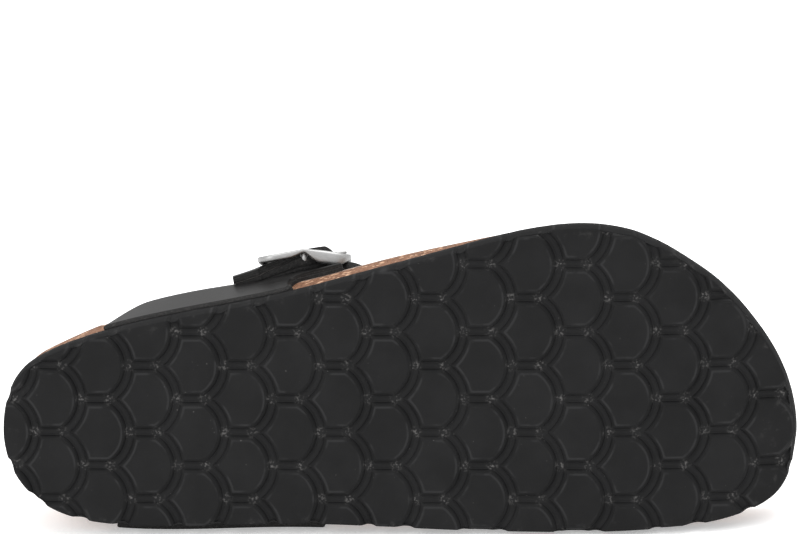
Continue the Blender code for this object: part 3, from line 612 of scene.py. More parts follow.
    def strap_form(self, x: Any, girth: Any) -> np.ndarray:
        """Form the straps take: the last, held flat across under the buckle as stiff leather is.

        Args:
            x: stations.
            girth: girth places.

        Returns:
            Points, one a row.
        """
        point = self.point(x, girth)
        away = point - self.buckle.centre
        along = away @ self.buckle.forward
        aside = away @ self.buckle.sideways
        low = np.maximum(-along ** 2 / (2.0 * self.flat_radius) - away @ self.buckle.outward, 0.0)
        ahead = 1.0 - np.where(along > 0.0, smooth(along, *self.flat_ahead), smooth(-along, *self.flat_behind))
        beside = 1.0 - np.where(aside > 0.0, smooth(aside, *self.flat_back), smooth(-aside, *self.flat_front))
        near = 1.0 - smooth(low, *self.flat_sink)
        return point + self.buckle.outward * (low * self.flat_share * ahead * beside * near)[..., None]

    def on_last(self, along: float, aside: float) -> np.ndarray:
        """Place on the last of a point of a strap's buckle end, found in a few rounds.

        Args:
            along: its distance along the strap from the buckle's centre.
            aside: its distance across it.

        Returns:
            Its station and girth place.
        """
        axes = self.buckle
        x = self.buckle_x + axes.forward[0] * along + axes.sideways[0] * aside
        place = np.array([x, self.buckle_girth])
        wanted = np.array([along, aside])

        def seen(where: np.ndarray) -> np.ndarray:
            """Distances along and across the strap of a place on the last."""
            away = self.point(where[0], where[1]) - axes.centre
            return np.array([away @ axes.forward, away @ axes.sideways])

        for _ in range(self.find_rounds):
            here = seen(place)
            nudged = [(seen(place + nudge) - here) / nudge.sum() for nudge in np.diag(self.find_nudge)]
            place = place + self.find_pace * np.linalg.solve(np.stack(nudged, axis=1), wanted - here)
        return place

    @cached_property
    def turn_matrix(self) -> np.ndarray:
        """Rotation from the shoe's frame to the lying pose.

        Returns:
            Its three rows.
        """
        lean = math.radians(-90.0 - self.lean_deg)
        roll = math.radians(self.roll_deg)
        about_x = np.array([[1.0, 0.0, 0.0], [0.0, math.cos(lean), -math.sin(lean)],
                            [0.0, math.sin(lean), math.cos(lean)]])
        about_y = np.array([[math.cos(roll), 0.0, math.sin(roll)], [0.0, 1.0, 0.0],
                            [-math.sin(roll), 0.0, math.cos(roll)]])
        return about_y @ about_x

    def lay(self, points: np.ndarray) -> np.ndarray:
        """Points in the lying pose, in metres."""
        return (np.asarray(points) @ self.turn_matrix.T + np.array(self.shift)) * MM


def ring_faces(rings: int, count: int, base: int = 0) -> Faces:
    """Quads between closed rings of points.

    Args:
        rings: count of rings.
        count: points in a ring.
        base: number of the first point.

    Returns:
        Four point numbers a quad.
    """
    start = np.arange(rings - 1)[:, None] * count + base
    here = np.arange(count)[None, :]
    after = (here + 1) % count
    corners = (start + here, start + after, start + count + after, start + count + here)
    return [tuple(quad) for quad in np.stack(corners, axis=-1).reshape(-1, 4).tolist()]


def join(*shapes: Shape) -> Shape:
    """Several shapes as one.

    Args:
        shapes: points and faces of each.

    Returns:
        All points and faces.
    """
    faces, count = [], 0
    for points, some in shapes:
        faces += [tuple(i + count for i in face) for face in some]
        count += len(points)
    return np.concatenate([points for points, _ in shapes]), faces


def make_piece(name: str, points: np.ndarray, faces: Faces, marks: Optional[Mapping[str, np.ndarray]] = None,
               slots: Optional[Sequence[int]] = None) -> Piece:
    """Smooth mesh piece.

    Args:
        name: name of the piece.
        points: places in metres.
        faces: point numbers of each face.
        marks: values by point that its finish reads.
        slots: material slot of each face.

    Returns:
        The new object, at the origin.
    """
    mesh = bpy.data.meshes.new(name)
    mesh.from_pydata(np.asarray(points).reshape(-1, 3).tolist(), [], faces)
    for mark, values in (marks or {}).items():
        layer = mesh.attributes.new(mark, "FLOAT", "POINT")
        layer.data.foreach_set("value", np.asarray(values, dtype=np.float32).ravel())
    if slots is not None:
        mesh.polygons.foreach_set("material_index", np.asarray(slots, dtype=np.int32))
    shape = bmesh.new()
    shape.from_mesh(mesh)
    bmesh.ops.remove_doubles(shape, verts=shape.verts, dist=MERGE)
    bmesh.ops.recalc_face_normals(shape, faces=shape.faces)
    shape.to_mesh(mesh)
    shape.free()
    mesh.polygons.foreach_set("use_smooth", np.ones(len(mesh.polygons), dtype=bool))
    piece = bpy.data.objects.new(name, mesh)
    bpy.context.scene.collection.objects.link(piece)
    return piece


def dress(piece: Piece, finishes: Sequence[Material], node: str) -> Piece:
    """Give a piece its finishes and its place on the model.

    Args:
        piece: the piece.
        finishes: materials by slot number.
        node: node that the piece stands for, or nothing.

    Returns:
        The same piece.
    """
    for finish in finishes:
        piece.data.materials.append(finish)
    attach(piece, BODY)
    if node:
        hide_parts(node)
    LOG.info("%s: %d faces", piece.name, len(piece.data.polygons))
    return piece


def tube(path: np.ndarray, radii: np.ndarray, up: np.ndarray, closed: bool, sides: int = 18,
         blunt: float = 1.0) -> Shape:
    """Tube of oval section along a path.

    Args:
        path: points of its middle line.
        radii: half height and half width of the section at each point.
        up: direction of the section's height.
        closed: whether the path joins its own start.
        sides: points round the section.
        blunt: power of its rounding, below one for flatter faces.

    Returns:
        Points and faces.
    """
    if closed:
        tangent = np.roll(path, -1, axis=0) - np.roll(path, 1, axis=0)
    else:
        tangent = np.gradient(path, axis=0)
    tangent = tangent / np.linalg.norm(tangent, axis=1, keepdims=True)
    wide = np.cross(tangent, up)
    wide = wide / np.linalg.norm(wide, axis=1, keepdims=True)
    high = np.cross(wide, tangent)
    angle = 2.0 * math.pi * np.arange(sides) / sides
    rise = np.sign(np.sin(angle)) * np.abs(np.sin(angle)) ** blunt
    spread = np.sign(np.cos(angle)) * np.abs(np.cos(angle)) ** blunt
    rings = (path[:, None, :] + high[:, None, :] * (rise[None, :, None] * radii[:, None, 0:1])
             + wide[:, None, :] * (spread[None, :, None] * radii[:, None, 1:2]))
    faces = ring_faces(len(path), sides)
    final = (len(path) - 1) * sides
    if closed:
        faces += [(final + j, final + (j + 1) % sides, (j + 1) % sides, j) for j in range(sides)]
    else:
        faces += [tuple(range(sides)), tuple(range(final, final + sides))]
    return rings.reshape(-1, 3), faces


class Strand:
    """Value in a node tree that Python's operators add Math nodes to."""

    def __init__(self, graph: "Graph", socket: Any) -> None:
        """Keep the graph and the socket."""
        self.graph = graph
        self.socket = socket

    def _math(self, operation: str, *values: Any) -> "Strand":
        """Math node of one operation on these values."""
        return self.graph.add("ShaderNodeMath", {"operation": operation}, dict(enumerate(values)))

    def __add__(self, other: Any) -> "Strand":
        """Sum."""
        return self._math("ADD", self, other)

    __radd__ = __add__

    def __mul__(self, other: Any) -> "Strand":
        """Product."""
        return self._math("MULTIPLY", self, other)

    __rmul__ = __mul__

    def __sub__(self, other: Any) -> "Strand":
        """Difference."""
        return self._math("SUBTRACT", self, other)

    def __rsub__(self, other: Any) -> "Strand":
        """Difference the other way round."""
        return self._math("SUBTRACT", other, self)

    def root(self) -> "Strand":
        """Square root."""
        return self._math("POWER", self, 0.5)

    def wrap(self, high: float) -> "Strand":
        """Remainder between nought and high."""
        return self._math("WRAP", self, high, 0.0)

    def step(self, low: float, high: float) -> "Strand":
        """Soft step from nought at low to one at high."""
        inputs = {"Value": self, "From Min": low, "From Max": high}
        return self.graph.add("ShaderNodeMapRange", {"interpolation_type": "SMOOTHSTEP"}, inputs, "Result")

    def ridge(self, middle: float, width: float) -> "Strand":
        """Soft ridge, one at the middle value and nought a width away."""
        return 1.0 - self._math("ABSOLUTE", self - middle).step(0.0, width)


class Graph:
    """Node tree that is built by calls and expressions."""

    def __init__(self, tree: bpy.types.NodeTree) -> None:
        """Keep the tree."""
        self.tree = tree

    def add(self, kind: str, settings: Optional[Mapping[str, Any]] = None,
            inputs: Optional[Mapping[Any, Any]] = None, output: Any = 0) -> Strand:
        """Add any node.

        Args:
            kind: type of the node.
            settings: its own properties, or the stops of a colour ramp.
            inputs: values or links by socket name or number.
            output: name or number of the socket that is returned.

        Returns:
            The node's output.
        """
        node = self.tree.nodes.new(kind)
        for name, value in (settings or {}).items():
            if name == "stops":
                self._stops(node.color_ramp, value)
            else:
                setattr(node, name, value)
        for name, value in (inputs or {}).items():
            if isinstance(value, Strand):
                self.tree.links.new(value.socket, node.inputs[name])
            else:
                node.inputs[name].default_value = value
        return Strand(self, node.outputs[output] if node.outputs else None)

    @staticmethod
    def _stops(ramp: Any, stops: Sequence[tuple[float, Colour]]) -> None:
        """Set the stops of a colour ramp.

        Args:
            ramp: the ramp.
            stops: place and colour of each stop.
        """
        while len(ramp.elements) < len(stops):
            ramp.elements.new(1.0)
        for element, (place, colour) in zip(ramp.elements, stops):
            element.position = place
            element.color = (*colour, 1.0)


class Paint(Graph):
    """Node tree of one material."""

    def __init__(self, name: str) -> None:
        """Start an empty material.

        Args:
            name: name of the material.
        """
        self.material = bpy.data.materials.new(name)
        self.material.use_nodes = True
        super().__init__(self.material.node_tree)
        self.tree.nodes.clear()

    def place(self) -> Strand:
        """Object coordinates."""
        return self.add("ShaderNodeTexCoord", output="Object")

    def mark(self, name: str) -> Strand:
        """Value that the mesh carries by point."""
        return self.add("ShaderNodeAttribute", {"attribute_name": name}, output="Fac")

    def stretched(self, scale: tuple[float, float, float]) -> Strand:
        """Object coordinates scaled by axis."""
        return self.add("ShaderNodeMapping", inputs={"Vector": self.place(), "Scale": scale}, output="Vector")

    def noise(self, kind: Noise, where: Optional[Strand] = None) -> Strand:
        """Soft noise, about one half on average."""
        inputs = {"Vector": where or self.place(), "Scale": kind.scale, "Detail": kind.detail,
                  "Roughness": kind.rough}
        return self.add("ShaderNodeTexNoise", inputs=inputs, output="Fac")

    def cells(self, scale: float, feature: str = "F1", output: str = "Distance") -> Strand:
        """Voronoi cells, by their number to the metre."""
        inputs = {"Vector": self.place(), "Scale": scale}
        return self.add("ShaderNodeTexVoronoi", {"feature": feature}, inputs, output)

    def ramp(self, value: Strand, stops: Sequence[tuple[float, Colour]]) -> Strand:
        """Colour by value."""
        return self.add("ShaderNodeValToRGB", {"stops": stops}, {"Fac": value}, "Color")

    def mix(self, share: Any, first: Any, second: Any) -> Strand:
        """Colour between two colours.

        Args:
            share: share of the second colour.
            first: colour or link.
            second: colour or link.

        Returns:
            The mixed colour.
        """
        ends = [colour if isinstance(colour, Strand) else (*colour, 1.0) for colour in (first, second)]
        return self.add("ShaderNodeMix", {"data_type": "RGBA"}, {0: share, 6: ends[0], 7: ends[1]}, 2)

    def bump(self, height: Strand, relief: Relief, under: Optional[Strand] = None) -> Strand:
        """Normal of a fine relief.

        Args:
            height: its shape, from nought to one.
            relief: its size.
            under: normal that it lies on.

        Returns:
            The normal.
        """
        inputs = {"Height": height, "Distance": relief.depth, "Strength": relief.strength}
        if under is not None:
            inputs["Normal"] = under
        return self.add("ShaderNodeBump", inputs=inputs, output="Normal")

    def close(self, **inputs: Any) -> Material:
        """End the tree in a Principled shader.

        Args:
            inputs: values or links by socket name, with _ for a space.

        Returns:
            The material.
        """
        named = {name.replace("_", " "): value for name, value in inputs.items()}
        if "Specular" in named:
            named["Specular IOR Level"] = named.pop("Specular")
        shader = self.add("ShaderNodeBsdfPrincipled", inputs=named, output="BSDF")
        self.add("ShaderNodeOutputMaterial", inputs={"Surface": shader})
        return self.material


@dataclass(frozen=True)
class FoamFinish:
    """Moulded black foam rubber of the sole, marked by distances in millimetres from its grooves and edge."""

    dark: Colour = (0.0065, 0.0065, 0.0067)
    worn: Colour = (0.0165, 0.0165, 0.017)
    dust: Colour = (0.16, 0.155, 0.15)
    rough: float = 0.6
    specular: float = 0.1
    cloud: Noise = Noise(60.0, 4.0, 0.6)
    speck: Noise = Noise(900.0, 2.0)
    speck_cells: float = 420.0
    crumb: Noise = Noise(1100.0, 3.0, 0.6)
    crumb_reach: tuple[float, float] = (0.3, 2.6)
    lip: Noise = Noise(130.0)
    lip_place: float = 2.6
    lip_width: float = 0.6
    scuff: Noise = Noise(240.0, 5.0, 0.7)
    scuff_reach: float = 5.0
    valley_reach: tuple[float, float] = (0.2, 2.4)
    corner_reach: tuple[float, float] = (0.2, 0.9)
    inner_line: tuple[float, float] = (1.05, 0.28)
    outer_line: tuple[float, float] = (2.05, 0.22)
    line_relief: Relief = Relief(0.00028, 0.9)
    skin: Noise = Noise(2600.0, 2.0, 0.6)
    skin_relief: Relief = Relief(0.00006, 0.35)
    pore_cells: float = 1500.0
    pore_relief: Relief = Relief(0.00005, 0.25)

    def make(self) -> Material:
        """Build the material.

        Returns:
            The material.
        """
        paint = Paint("black_foam_rubber")
        groove, edge, meeting = (paint.mark(name) for name in ("groove", "edge", "meeting"))
        cloud = paint.noise(self.cloud)
        specks = paint.cells(self.speck_cells).step(0.14, 0.06) * paint.noise(self.speck).step(0.56, 0.66)
        specks = specks * cloud.step(0.42, 0.62)
        # Specks where grooves meet: partly dust, partly painted highlights on the raised knots.
        node_dust_and_highlights = (1.0 - meeting.step(*self.crumb_reach)) * paint.noise(self.crumb).step(0.5, 0.66)
        # Painted highlight along the lip of each groove.
        lip = groove.ridge(self.lip_place, self.lip_width) * paint.noise(self.lip).step(0.42, 0.62)
        scuff = (1.0 - edge.step(0.0, self.scuff_reach)) * paint.noise(self.scuff).step(0.56, 0.72)
        # Painted light that lifts the groove floors against their own shade.
        valley = 1.0 - groove.step(*self.valley_reach)
        # Lighter colour from random tone, the painted lip highlight and the painted light in the groove floors.
        colour = paint.mix(cloud.step(0.3, 0.75) * 0.35 + lip * 1.2 + valley * 0.25, self.dark, self.worn)
        # Pale grey from dust specks, scuffs by the edge, and the dust and painted highlights where grooves
        # meet.
        colour = paint.mix(specks * 0.5 + scuff * 0.12 + node_dust_and_highlights * 0.45, colour, self.dust)
        lines = 1.0 - groove.ridge(*self.inner_line) * 0.5 - groove.ridge(*self.outer_line) * 0.3
        normal = paint.bump(paint.noise(self.skin), self.skin_relief)
        normal = paint.bump(paint.cells(self.pore_cells), self.pore_relief, normal)
        normal = paint.bump(lines, self.line_relief, normal)
        corner = 1.0 - edge.step(*self.corner_reach)
        rough = self.rough + (cloud - 0.5) * 0.18 - lip * 0.06 + corner * 0.3
        return paint.close(Base_Color=colour, Roughness=rough, Normal=normal, Specular=self.specular)


@dataclass(frozen=True)
class CorkFinish:
    """Ground cork bound with latex, its rim and top mixed towards a pale grey."""

    pale: Colour = (0.50, 0.31, 0.20)
    mid: Colour = (0.20, 0.098, 0.056)
    deep: Colour = (0.085, 0.038, 0.020)
    fleck: Colour = (0.022, 0.010, 0.006)
    rubbed: Colour = (0.46, 0.40, 0.36)
    rough: float = 0.74
    specular: float = 0.2
    grain_cells: float = 640.0
    fleck_cells: float = 352.0
    mottle: Noise = Noise(1800.0)
    patch: Noise = Noise(500.0)
    rub: Noise = Noise(700.0, 4.0, 0.7)
    crumb: Noise = Noise(2400.0)
    gloss: Noise = Noise(900.0)
    relief: Relief = Relief(0.0003, 0.9)

    def make(self) -> Material:
        """Build the material.

        Returns:
            The material.
        """
        paint = Paint("ground_cork")
        shade = paint.cells(self.grain_cells, output="Color")
        tone = paint.add("ShaderNodeSeparateColor", inputs={"Color": shade}, output="Red")
        stops = [(0.0, self.deep), (0.4, self.mid), (0.72, self.mid), (0.86, self.pale), (1.0, self.pale)]
        colour = paint.ramp(tone * 0.8 + paint.noise(self.mottle) * 0.2, stops)
        seams = paint.cells(self.grain_cells, "DISTANCE_TO_EDGE").step(0.10, 0.0)
        flecks = paint.cells(self.fleck_cells).step(0.24, 0.12) * paint.noise(self.patch).step(0.46, 0.58)
        colour = paint.mix(seams * 0.5, colour, self.deep)
        colour = paint.mix(flecks * 0.85, colour, self.fleck)
        # The rim and the top are mixed towards a pale grey, in patches.
        rim = paint.mark("rim") * (0.45 + paint.noise(self.rub).step(0.3, 0.65) * 0.55)
        colour = paint.mix(rim, colour, self.rubbed)
        normal = paint.bump(paint.noise(self.crumb) * 0.4 - seams * 0.6 - flecks * 0.5, self.relief)
        rough = self.rough + paint.noise(self.gloss) * 0.18
        return paint.close(Base_Color=colour, Roughness=rough, Normal=normal, Specular=self.specular)


@dataclass(frozen=True)
class SuedeFinish:
    """Napped suede of the insole."""

    light: Colour = (0.40, 0.29, 0.20)
    dark: Colour = (0.27, 0.185, 0.12)
    rough: float = 0.9
    specular: float = 0.15
    sheen: float = 0.35
    sheen_rough: float = 0.5
    nap: Noise = Noise(90.0, 5.0, 0.65)
    fibre: Noise = Noise(3800.0, 2.0, 0.6)
    relief: Relief = Relief(0.00018, 0.7)

    def make(self) -> Material:
        """Build the material.

        Returns:
            The material.
        """
        paint = Paint("suede")
        nap = paint.noise(self.nap)
        fibre = paint.noise(self.fibre)
        colour = paint.mix(nap.step(0.3, 0.7) * 0.6 + fibre * 0.4, self.dark, self.light)
        normal = paint.bump(fibre + nap * 0.3, self.relief)
        return paint.close(Base_Color=colour, Roughness=self.rough + fibre * 0.08, Normal=normal,
                           Specular=self.specular, Sheen_Weight=self.sheen, Sheen_Roughness=self.sheen_rough)


@dataclass(frozen=True)
class LeatherFinish:
    """Smooth black leather with a fine pebbled grain. The strap's punched holes are sized in millimetres."""

    dark: Colour = (0.0075, 0.0072, 0.0072)
    bloom: Colour = (0.022, 0.0215, 0.021)
    hollow: Colour = (0.0012, 0.0012, 0.0012)
    rough: float = 0.5
    specular: float = 0.1
    coat: float = 0.02
    coat_rough: float = 0.3
    hole_pitch: float = 8.0
    hole_radius: float = 1.25
    hole_phase: float = 4.0
    hole_soft: float = 0.12
    hole_relief: Relief = Relief(0.0005, 0.9)
    brim_out: float = 0.25
    brim_width: float = 0.6
    pebble_cells: float = 1250.0
    pores: Noise = Noise(2800.0, 2.0)
    cloud: Noise = Noise(70.0, 4.0, 0.6)
    grain_relief: Relief = Relief(0.00009, 0.55)

    def make(self) -> Material:
        """Build the material.

        Returns:
            The material.
        """
        paint = Paint("black_leather")
        pebble = paint.cells(self.pebble_cells, "SMOOTH_F1")
        pores = paint.noise(self.pores)
        cloud = paint.noise(self.cloud)
        half_pitch = self.hole_pitch * 0.5
        along = (paint.mark("along") - self.hole_phase + half_pitch).wrap(self.hole_pitch) - half_pitch
        across = paint.mark("aside")
        away = (along * along + across * across).root()
        punched = paint.mark("billet").step(0.4, 0.6)
        # The punched holes are not cut in the mesh: each is a disc painted dark as shade, with a bump.
        hole = away.step(self.hole_radius + self.hole_soft, self.hole_radius - self.hole_soft) * punched
        brim = away.ridge(self.hole_radius + self.brim_out, self.brim_width) * punched
        colour = paint.mix(cloud.step(0.35, 0.7) * 0.5, self.dark, self.bloom)
        colour = paint.mix(hole, colour, self.hollow)
        grain = paint.bump(pebble * 0.7 + pores * 0.3, self.grain_relief)
        normal = paint.bump(0.0 - hole - brim * 0.25, self.hole_relief, grain)
        rough = self.rough + (cloud - 0.5) * 0.16 + pores * 0.05 + hole * 0.4
        return paint.close(Base_Color=colour, Roughness=rough, Normal=normal, Specular=self.specular,
                           Coat_Weight=self.coat, Coat_Roughness=self.coat_rough)


@dataclass(frozen=True)
class CutEdgeFinish:
    """Cut and dyed edge of the leather, with its layers showing."""

    dark: Colour = (0.008, 0.0078, 0.0078)
    fibre: Colour = (0.04, 0.038, 0.036)
    rough: float = 0.72
    specular: float = 0.3
    strands: Noise = Noise(1500.0, 4.0, 0.7)
    layer_width: float = 0.12
    relief: Relief = Relief(0.00025, 0.8)

    def make(self) -> Material:
        """Build the material.

        Returns:
            The material.
        """
        paint = Paint("cut_leather_edge")
        strands = paint.noise(self.strands)
        layer = paint.mark("layer").ridge(0.5, self.layer_width)
        colour = paint.mix(strands.step(0.45, 0.7) * 0.7, self.dark, self.fibre)
        colour = paint.mix(layer * 0.7, colour, self.dark)
        normal = paint.bump(strands - layer * 0.6, self.relief)
        return paint.close(Base_Color=colour, Roughness=self.rough, Normal=normal, Specular=self.specular)


@dataclass(frozen=True)
class LiningFinish:
    """Felted lining under the straps."""

    light: Colour = (0.085, 0.078, 0.072)
    dark: Colour = (0.045, 0.041, 0.038)
    rough: float = 0.95
    specular: float = 0.1
    sheen: float = 0.3
    fibre: Noise = Noise(2600.0, 4.0, 0.7)
    patch: Noise = Noise(160.0)
    relief: Relief = Relief(0.0002, 0.8)

    def make(self) -> Material:
        """Build the material.

        Returns:
            The material.
        """
        paint = Paint("felt_lining")
        fibre = paint.noise(self.fibre)
        colour = paint.mix(fibre * 0.6 + paint.noise(self.patch) * 0.4, self.dark, self.light)
        normal = paint.bump(fibre, self.relief)
        return paint.close(Base_Color=colour, Roughness=self.rough, Normal=normal, Specular=self.specular,
                           Sheen_Weight=self.sheen)


@dataclass(frozen=True)
class SteelFinish:
    """Satin steel, brushed along the buckle."""

    bright: Colour = (0.37, 0.37, 0.367)
    dull: Colour = (0.28, 0.28, 0.278)
    rough: float = 0.42
    lines: Noise = Noise(1.0, 3.0, 0.6)
    stretch: tuple[float, float, float] = (260.0, 5200.0, 5200.0)
    cloud: Noise = Noise(180.0)
    relief: Relief = Relief(0.00003, 0.5)

    def make(self) -> Material:
        """Build the material.

        Returns:
            The material.
        """
        paint = Paint("satin_steel")
        lines = paint.noise(self.lines, paint.stretched(self.stretch))
        colour = paint.mix(lines.step(0.3, 0.7) * 0.6 + paint.noise(self.cloud) * 0.4, self.dull, self.bright)
        normal = paint.bump(lines, self.relief)
        rough = self.rough + (lines - 0.5) * 0.22
        return paint.close(Base_Color=colour, Roughness=rough, Metallic=1.0, Normal=normal)


@dataclass(frozen=True)
class ThreadFinish:
    """Waxed black thread."""

    dark: Colour = (0.012, 0.012, 0.012)
    light: Colour = (0.035, 0.034, 0.033)
    rough: float = 0.5
    specular: float = 0.4
    twist: Noise = Noise(5200.0, 2.0)
    relief: Relief = Relief(0.0001, 0.6)

    def make(self) -> Material:
        """Build the material.

        Returns:
            The material.
        """
        paint = Paint("waxed_thread")
        twist = paint.noise(self.twist)
        colour = paint.mix(twist.step(0.35, 0.65), self.dark, self.light)
        normal = paint.bump(twist, self.relief)
        return paint.close(Base_Color=colour, Roughness=self.rough + twist * 0.1, Normal=normal,
                           Specular=self.specular)


@dataclass(frozen=True)
class FloorFinish:
    """Pale matt studio paper."""

    pale: Colour = (0.86, 0.86, 0.86)
    shade: float = 0.985
    rough: float = 0.9
    specular: float = 0.1
    glow: float = 0.42
    cloud: Noise = Noise(3.0, 2.0)

    def make(self) -> Material:
        """Build the material.

        Returns:
            The material.
        """
        paint = Paint("studio_paper")
        shaded = tuple(value * self.shade for value in self.pale)
        colour = paint.mix(paint.noise(self.cloud), self.pale, shaded)
        return paint.close(Base_Color=colour, Roughness=self.rough, Specular=self.specular,
                           Emission_Color=colour, Emission_Strength=self.glow)


@dataclass
class Outsole:
    """Black sole with its arched tread, flared side and toe spring."""

    last: Last
    spacing: float = 0.62
    cross_points: int = 151
    depth: float = 1.9
    groove_half: float = 2.5
    groove_floor: float = 0.35
    tile_width: float = 22.0
    tile_pitch: float = 15.5
    tile_rise: float = 6.5
    arc_from: float = 0.5
    shift_x: float = 4.2
    shift_y: float = 6.0
    node_radius: float = 1.5
    node_rise: float = 0.55
    flare: float = 0.5
    flare_height: float = 4.2
    flare_shares: tuple[float, ...] = (0.35, 0.7, 1.0)
    flare_lift: float = 0.3
    flare_push: float = 0.88
    flare_fade: float = 0.55
    roll: float = 0.5
    roll_steps: int = 5
    roll_turn: float = 0.62
    roll_out: float = 1.7
    roll_up: float = 1.5
    roll_fade: float = 0.12
    proud: float = 0.5
    wall_shares: tuple[float, ...] = (0.4, 0.75)
    wall_push: float = 0.4
    lip: float = 0.5
    lip_push: float = 0.05
    lip_bend: float = 0.3
    scallop: float = 0.75
    least_inset: float = 0.6

    def groove_distance(self, x: np.ndarray, y: np.ndarray) -> tuple[np.ndarray, np.ndarray]:
        """Distance to the nearest groove of the tread, and to the nearest place where grooves meet.

        Args:
            x: places along the shoe.
            y: places across it.

        Returns:
            Both distances.
        """
        half = self.tile_width * 0.5
        radius = (half ** 2 + self.tile_rise ** 2) / (2.0 * self.tile_rise)
        drop = radius - self.tile_rise
        first = self.shift_x - 2.0 * self.tile_pitch
        home = np.floor((x - first) / self.tile_pitch).astype(int)
        groove = np.full(x.shape, FAR)
        meeting = np.full(x.shape, FAR)
        for step in (-1, 0, 1):
            row = home + step
            stagger = self.shift_y + half * (row % 2)
            column = np.round((y - stagger) / self.tile_width)
            aside = y - stagger - column * self.tile_width
            ahead = x - first - row * self.tile_pitch
            up = ahead - (self.tile_pitch - drop)
            arc = np.where(up > self.arc_from * drop, np.abs(np.hypot(aside, up) - radius), FAR)
            side = np.abs(np.abs(aside) - half)
            over = np.maximum(np.maximum(self.tile_rise - ahead, ahead - self.tile_pitch), 0.0)
            groove = np.minimum(groove, np.minimum(arc, np.hypot(side, over)))
            crown = np.hypot(side, ahead - self.tile_rise)
            foot = np.hypot(side, ahead - self.tile_pitch)
            meeting = np.minimum(meeting, np.minimum(crown, foot))
        return groove, meeting

    def relief(self, x: np.ndarray, y: np.ndarray) -> tuple[np.ndarray, np.ndarray, np.ndarray]:
        """Relief of the tread.

        Args:
            x: places along the shoe.
            y: places across it.

        Returns:
            Depth, distance to the nearest groove, and distance to the nearest place where grooves meet.
        """
        groove, meeting = self.groove_distance(x, y)
        valley = 1.0 - smooth(groove, self.groove_floor, self.groove_half)
        knot = self.node_rise * np.exp(-(meeting / self.node_radius) ** 2)
        return self.depth * valley * (1.0 - knot), groove, meeting

    def side_profile(self) -> list[FlankRow]:
        """Side of the sole from the tread up: a rolled edge, a flare, a wall and a lip.

        Returns:
            Rows of the side.
        """
        rows = []
        for i in range(1, self.roll_steps + 1):
            turn = 0.5 * math.pi * self.roll_turn * i / self.roll_steps
            inset = self.flare + self.roll - self.roll * self.roll_out * math.sin(turn)
            height = self.roll * self.roll_up * (1.0 - math.cos(turn))
            fade = 1.0 - self.roll_fade * i / self.roll_steps
            rows.append(FlankRow(inset, height, fade * math.cos(turn), fade * math.sin(turn)))
        start = rows[-1]
        for share in self.flare_shares:
            inset = start.inset + (-self.proud - start.inset) * share
            height = start.height + (self.flare_height - start.height) * share
            push = self.flare_push * (1.0 - self.flare_fade * share)
            rows.append(FlankRow(inset, height, self.flare_lift * (1.0 - share), push))
        top = self.last.sole_top
        for share in self.wall_shares:
            height = self.flare_height + (top - self.lip - self.flare_height) * share
            rows.append(FlankRow(-self.proud, height, 0.0, self.wall_push * (1.0 - share)))
        bend = self.lip_bend * self.lip
        rows.append(FlankRow(-self.proud, top - self.lip, 0.0, self.lip_push))
        rows.append(FlankRow(-self.proud + bend, top - bend, 0.0, 0.0))
        rows.append(FlankRow(-self.proud + self.lip, top, 0.0, 0.0))
        return rows

    def build(self, finish: Material) -> Piece:
        """Make the sole.

        Args:
            finish: its material.

        Returns:
            The piece.
        """
        x = self.last.stations(self.spacing)[:, None]
        share = np.linspace(-1.0, 1.0, self.cross_points)[None, :]
        tread_inset = self.flare + self.roll
        plan = self.last.across(x, share, tread_inset)
        depth, groove, meeting = self.relief(*plan)
        edge = tread_inset + (1.0 - np.abs(share)) * self.last.half_width(x)
        layers = [(*plan, depth, groove, edge, meeting)]
        ends = np.array([[-1.0, 1.0]])
        for row in self.side_profile():
            relief, groove, _ = self.relief(*self.last.across(x, ends, max(row.inset, self.least_inset)))
            side = self.last.across(x, ends, row.inset + relief * row.push * self.scallop)
            edge = np.full(relief.shape, max(row.inset, 0.0))
            meeting = np.full(relief.shape, self.tile_width)
            layers.append((*side, row.height + relief * row.lift, groove, edge, meeting))
        rings = []
        for values in zip(*layers):
            lateral = [value[:, 0:1] for value in values[:0:-1]]
            medial = [value[:, 1:2] for value in values[1:]]
            rings.append(np.concatenate(lateral + [values[0]] + medial, axis=1))
        px, py, pz, groove, edge, meeting = rings
        points = np.stack([px, py, pz + self.last.spring(px)], axis=-1)
        marks = {"groove": groove, "edge": edge, "meeting": meeting}
        piece = make_piece("outsole_tread", self.last.lay(points), ring_faces(*px.shape), marks)
        return dress(piece, [finish], "outsole")


